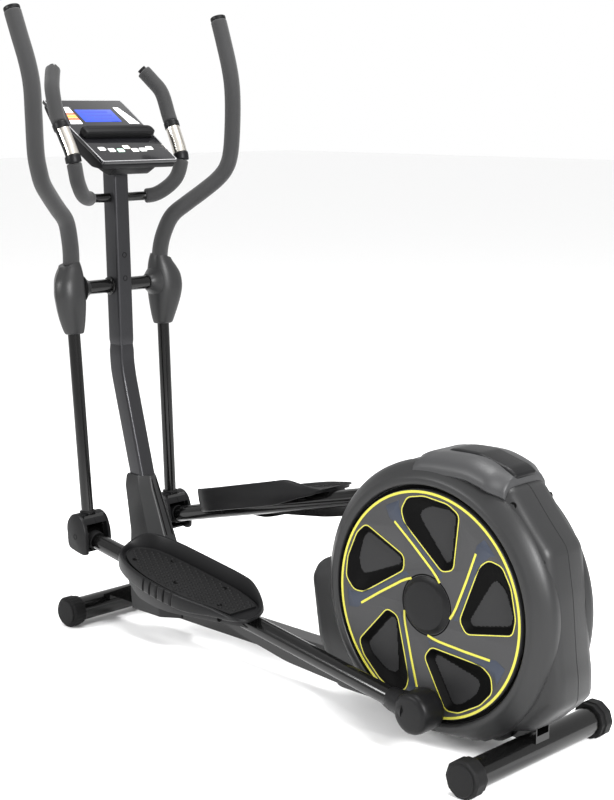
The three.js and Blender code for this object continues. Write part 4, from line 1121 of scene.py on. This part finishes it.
def rail_tube(label, body, place):
    """The tube, a drum at each end, the web under it, two cross bars for the tray and a rubber ring."""
    tube = [Vector((18, ARM_Y, 0)), Vector((RAIL_LENGTH - 18, ARM_Y, 0))]
    rail = Solid().sweep(tube, ellipse(RAIL_R, RAIL_R, 48), Vector((0, 0, 1)))
    drum = [(DRUM_R - 1.5, ARM_Y - DRUM_HALF), (DRUM_R, ARM_Y - DRUM_HALF + 1.5),
            (DRUM_R, ARM_Y + DRUM_HALF - 1.5), (DRUM_R - 1.5, ARM_Y + DRUM_HALF)]
    for x in (0, RAIL_LENGTH):
        rail.turn(drum, x, 0, 48)
    web = rounded([(330, -15), (990, -15), (900, -26), (700, -44), (560, -40)], 20)
    rail.prism(web, ARM_Y - 2.5, ARM_Y + 2.5)
    for x in (270, 500):
        rail.prism(oblong(x - 14, 14, x + 14, 18), ARM_Y - 45, ARM_Y + 55)
    rail.build(f"rail_tube_{label}", body, *PAINTED, [f"pedal_rail_{label}"], place)
    profile = [(20.2, 14), (22.2, 15), (22.5, 17), (22.5, 31), (22, 32.5), (20.2, 33)]
    ring = Solid().turn(profile, segments=48, loop=True)
    along = Matrix.Translation((0, ARM_Y, 0)) @ Matrix.Rotation(-math.pi / 2, 4, "Z")
    ring.build(f"rail_ring_{label}", body, *RUBBERY, place=place @ along)


# radius and distance outward from the rail's middle plane, then distance back from the pin and widening
END_PROFILE = [(30, -37), (37, -36), (42, -31), (44, -22), (44, 14), (43, 21), (40.5, 26), (36, 29),
               (30, 30), (AXIS_R, 30)]
END_SLEEVE = ((76, 1.0), (74, 1.06), (60, 1.16), (40, 1.36), (20, 1.6))


def rail_end(label, body, place):
    """A drum over the crank pin, with a cone that closes on the rail."""
    end = Solid().turn([(r, ARM_Y + y) for r, y in END_PROFILE], RAIL_LENGTH, 0, 96)
    path = [Vector((RAIL_LENGTH - back, ARM_Y, 0)) for back, _ in END_SLEEVE]
    end.sweep(path, ellipse(20.6, 20.6, 48), Vector((0, 0, 1)), [widening for _, widening in END_SLEEVE])
    end.build(f"rail_end_shell_{label}", body, *MOULDED, [f"rail_end_cover_{label}"], place)
    face = (RAIL_LENGTH - 22, ARM_Y + 30, 2)
    screw(f"rail_end_screw_{label}", body, face, (0, 1, 0), place, radius=5)


# ---- inner drive
INNER_LOOKS = {"crank_axle": STEEL, "crank_pulley": PLASTIC, "drive_belt": RUBBER, "flywheel": IRON,
               "belt_idler": STEEL, "magnet_brake": GRAPHITE}


def inner_drive():
    for node, look in INNER_LOOKS.items():
        dress(node, look)


# ---- stage
FLOOR_REACH = 30


def studio():
    floor_mesh = bpy.data.meshes.new("floor")
    corners = oblong(-FLOOR_REACH, -FLOOR_REACH, FLOOR_REACH, FLOOR_REACH)
    floor_mesh.from_pydata([(x, y, 0) for x, y in corners], [], [(0, 1, 2, 3)])
    pale = material("pale_floor", (0.94, 0.94, 0.94), 0.7, grain=60, bump=0.0, tint=0.01)
    floor_mesh.materials.append(pale)
    add_object("floor", floor_mesh)
    world = bpy.data.worlds.new("studio")
    world.use_nodes = True
    world.node_tree.nodes["Background"].inputs["Color"].default_value = (1, 1, 1, 1)
    world.node_tree.nodes["Background"].inputs["Strength"].default_value = 1.0
    bpy.context.scene.world = world
    bpy.context.scene.view_settings.view_transform = "Standard"
    softbox("key_light", (4.2, -1.2, 2.6), 1.3, 420)
    softbox("side_light", (-1.5, -3.6, 2.4), 1.0, 130)
    softbox("top_light", (0.3, 0.4, 4.0), 1.4, 160)


LIGHTS_AIM = Vector((0, 0, 0.7))


def softbox(name, place, size, power):
    light = bpy.data.lights.new(name, "AREA")
    light.size = size
    light.energy = power
    lamp = add_object(name, light)
    lamp.location = place
    lamp.rotation_euler = (LIGHTS_AIM - Vector(place)).to_track_quat("-Z", "Y").to_euler()


CAMERA_AT = (2.4453, -2.4759, 1.3076)
AZIMUTH, ELEVATION, ROLL = (math.radians(degrees) for degrees in (44.361, 10.528, 0.09))
LENS, SENSOR_WIDTH = 71.78, 36


def camera():
    level = math.cos(ELEVATION)
    back = Vector((math.sin(AZIMUTH) * level, -math.cos(AZIMUTH) * level, math.sin(ELEVATION)))
    right = Vector((math.cos(AZIMUTH), math.sin(AZIMUTH), 0))
    turn = Matrix((right, back.cross(right), back)).transposed() @ Matrix.Rotation(ROLL, 3, "Z")
    data = bpy.data.cameras.new("camera")
    data.lens = LENS
    data.sensor_width = SENSOR_WIDTH
    view = add_object("camera", data)
    view.matrix_world = Matrix.Translation(CAMERA_AT) @ turn.to_4x4()
    bpy.context.scene.camera = view


base()
end_caps()
post()
boot()
cross_axle()
fixed_bar()
console()
housing()
for side_label, side_sign in SIDES:
    disc(side_label, side_sign)
arms()
rails()
inner_drive()
studio()
camera()

bpy.context.view_layer.update()
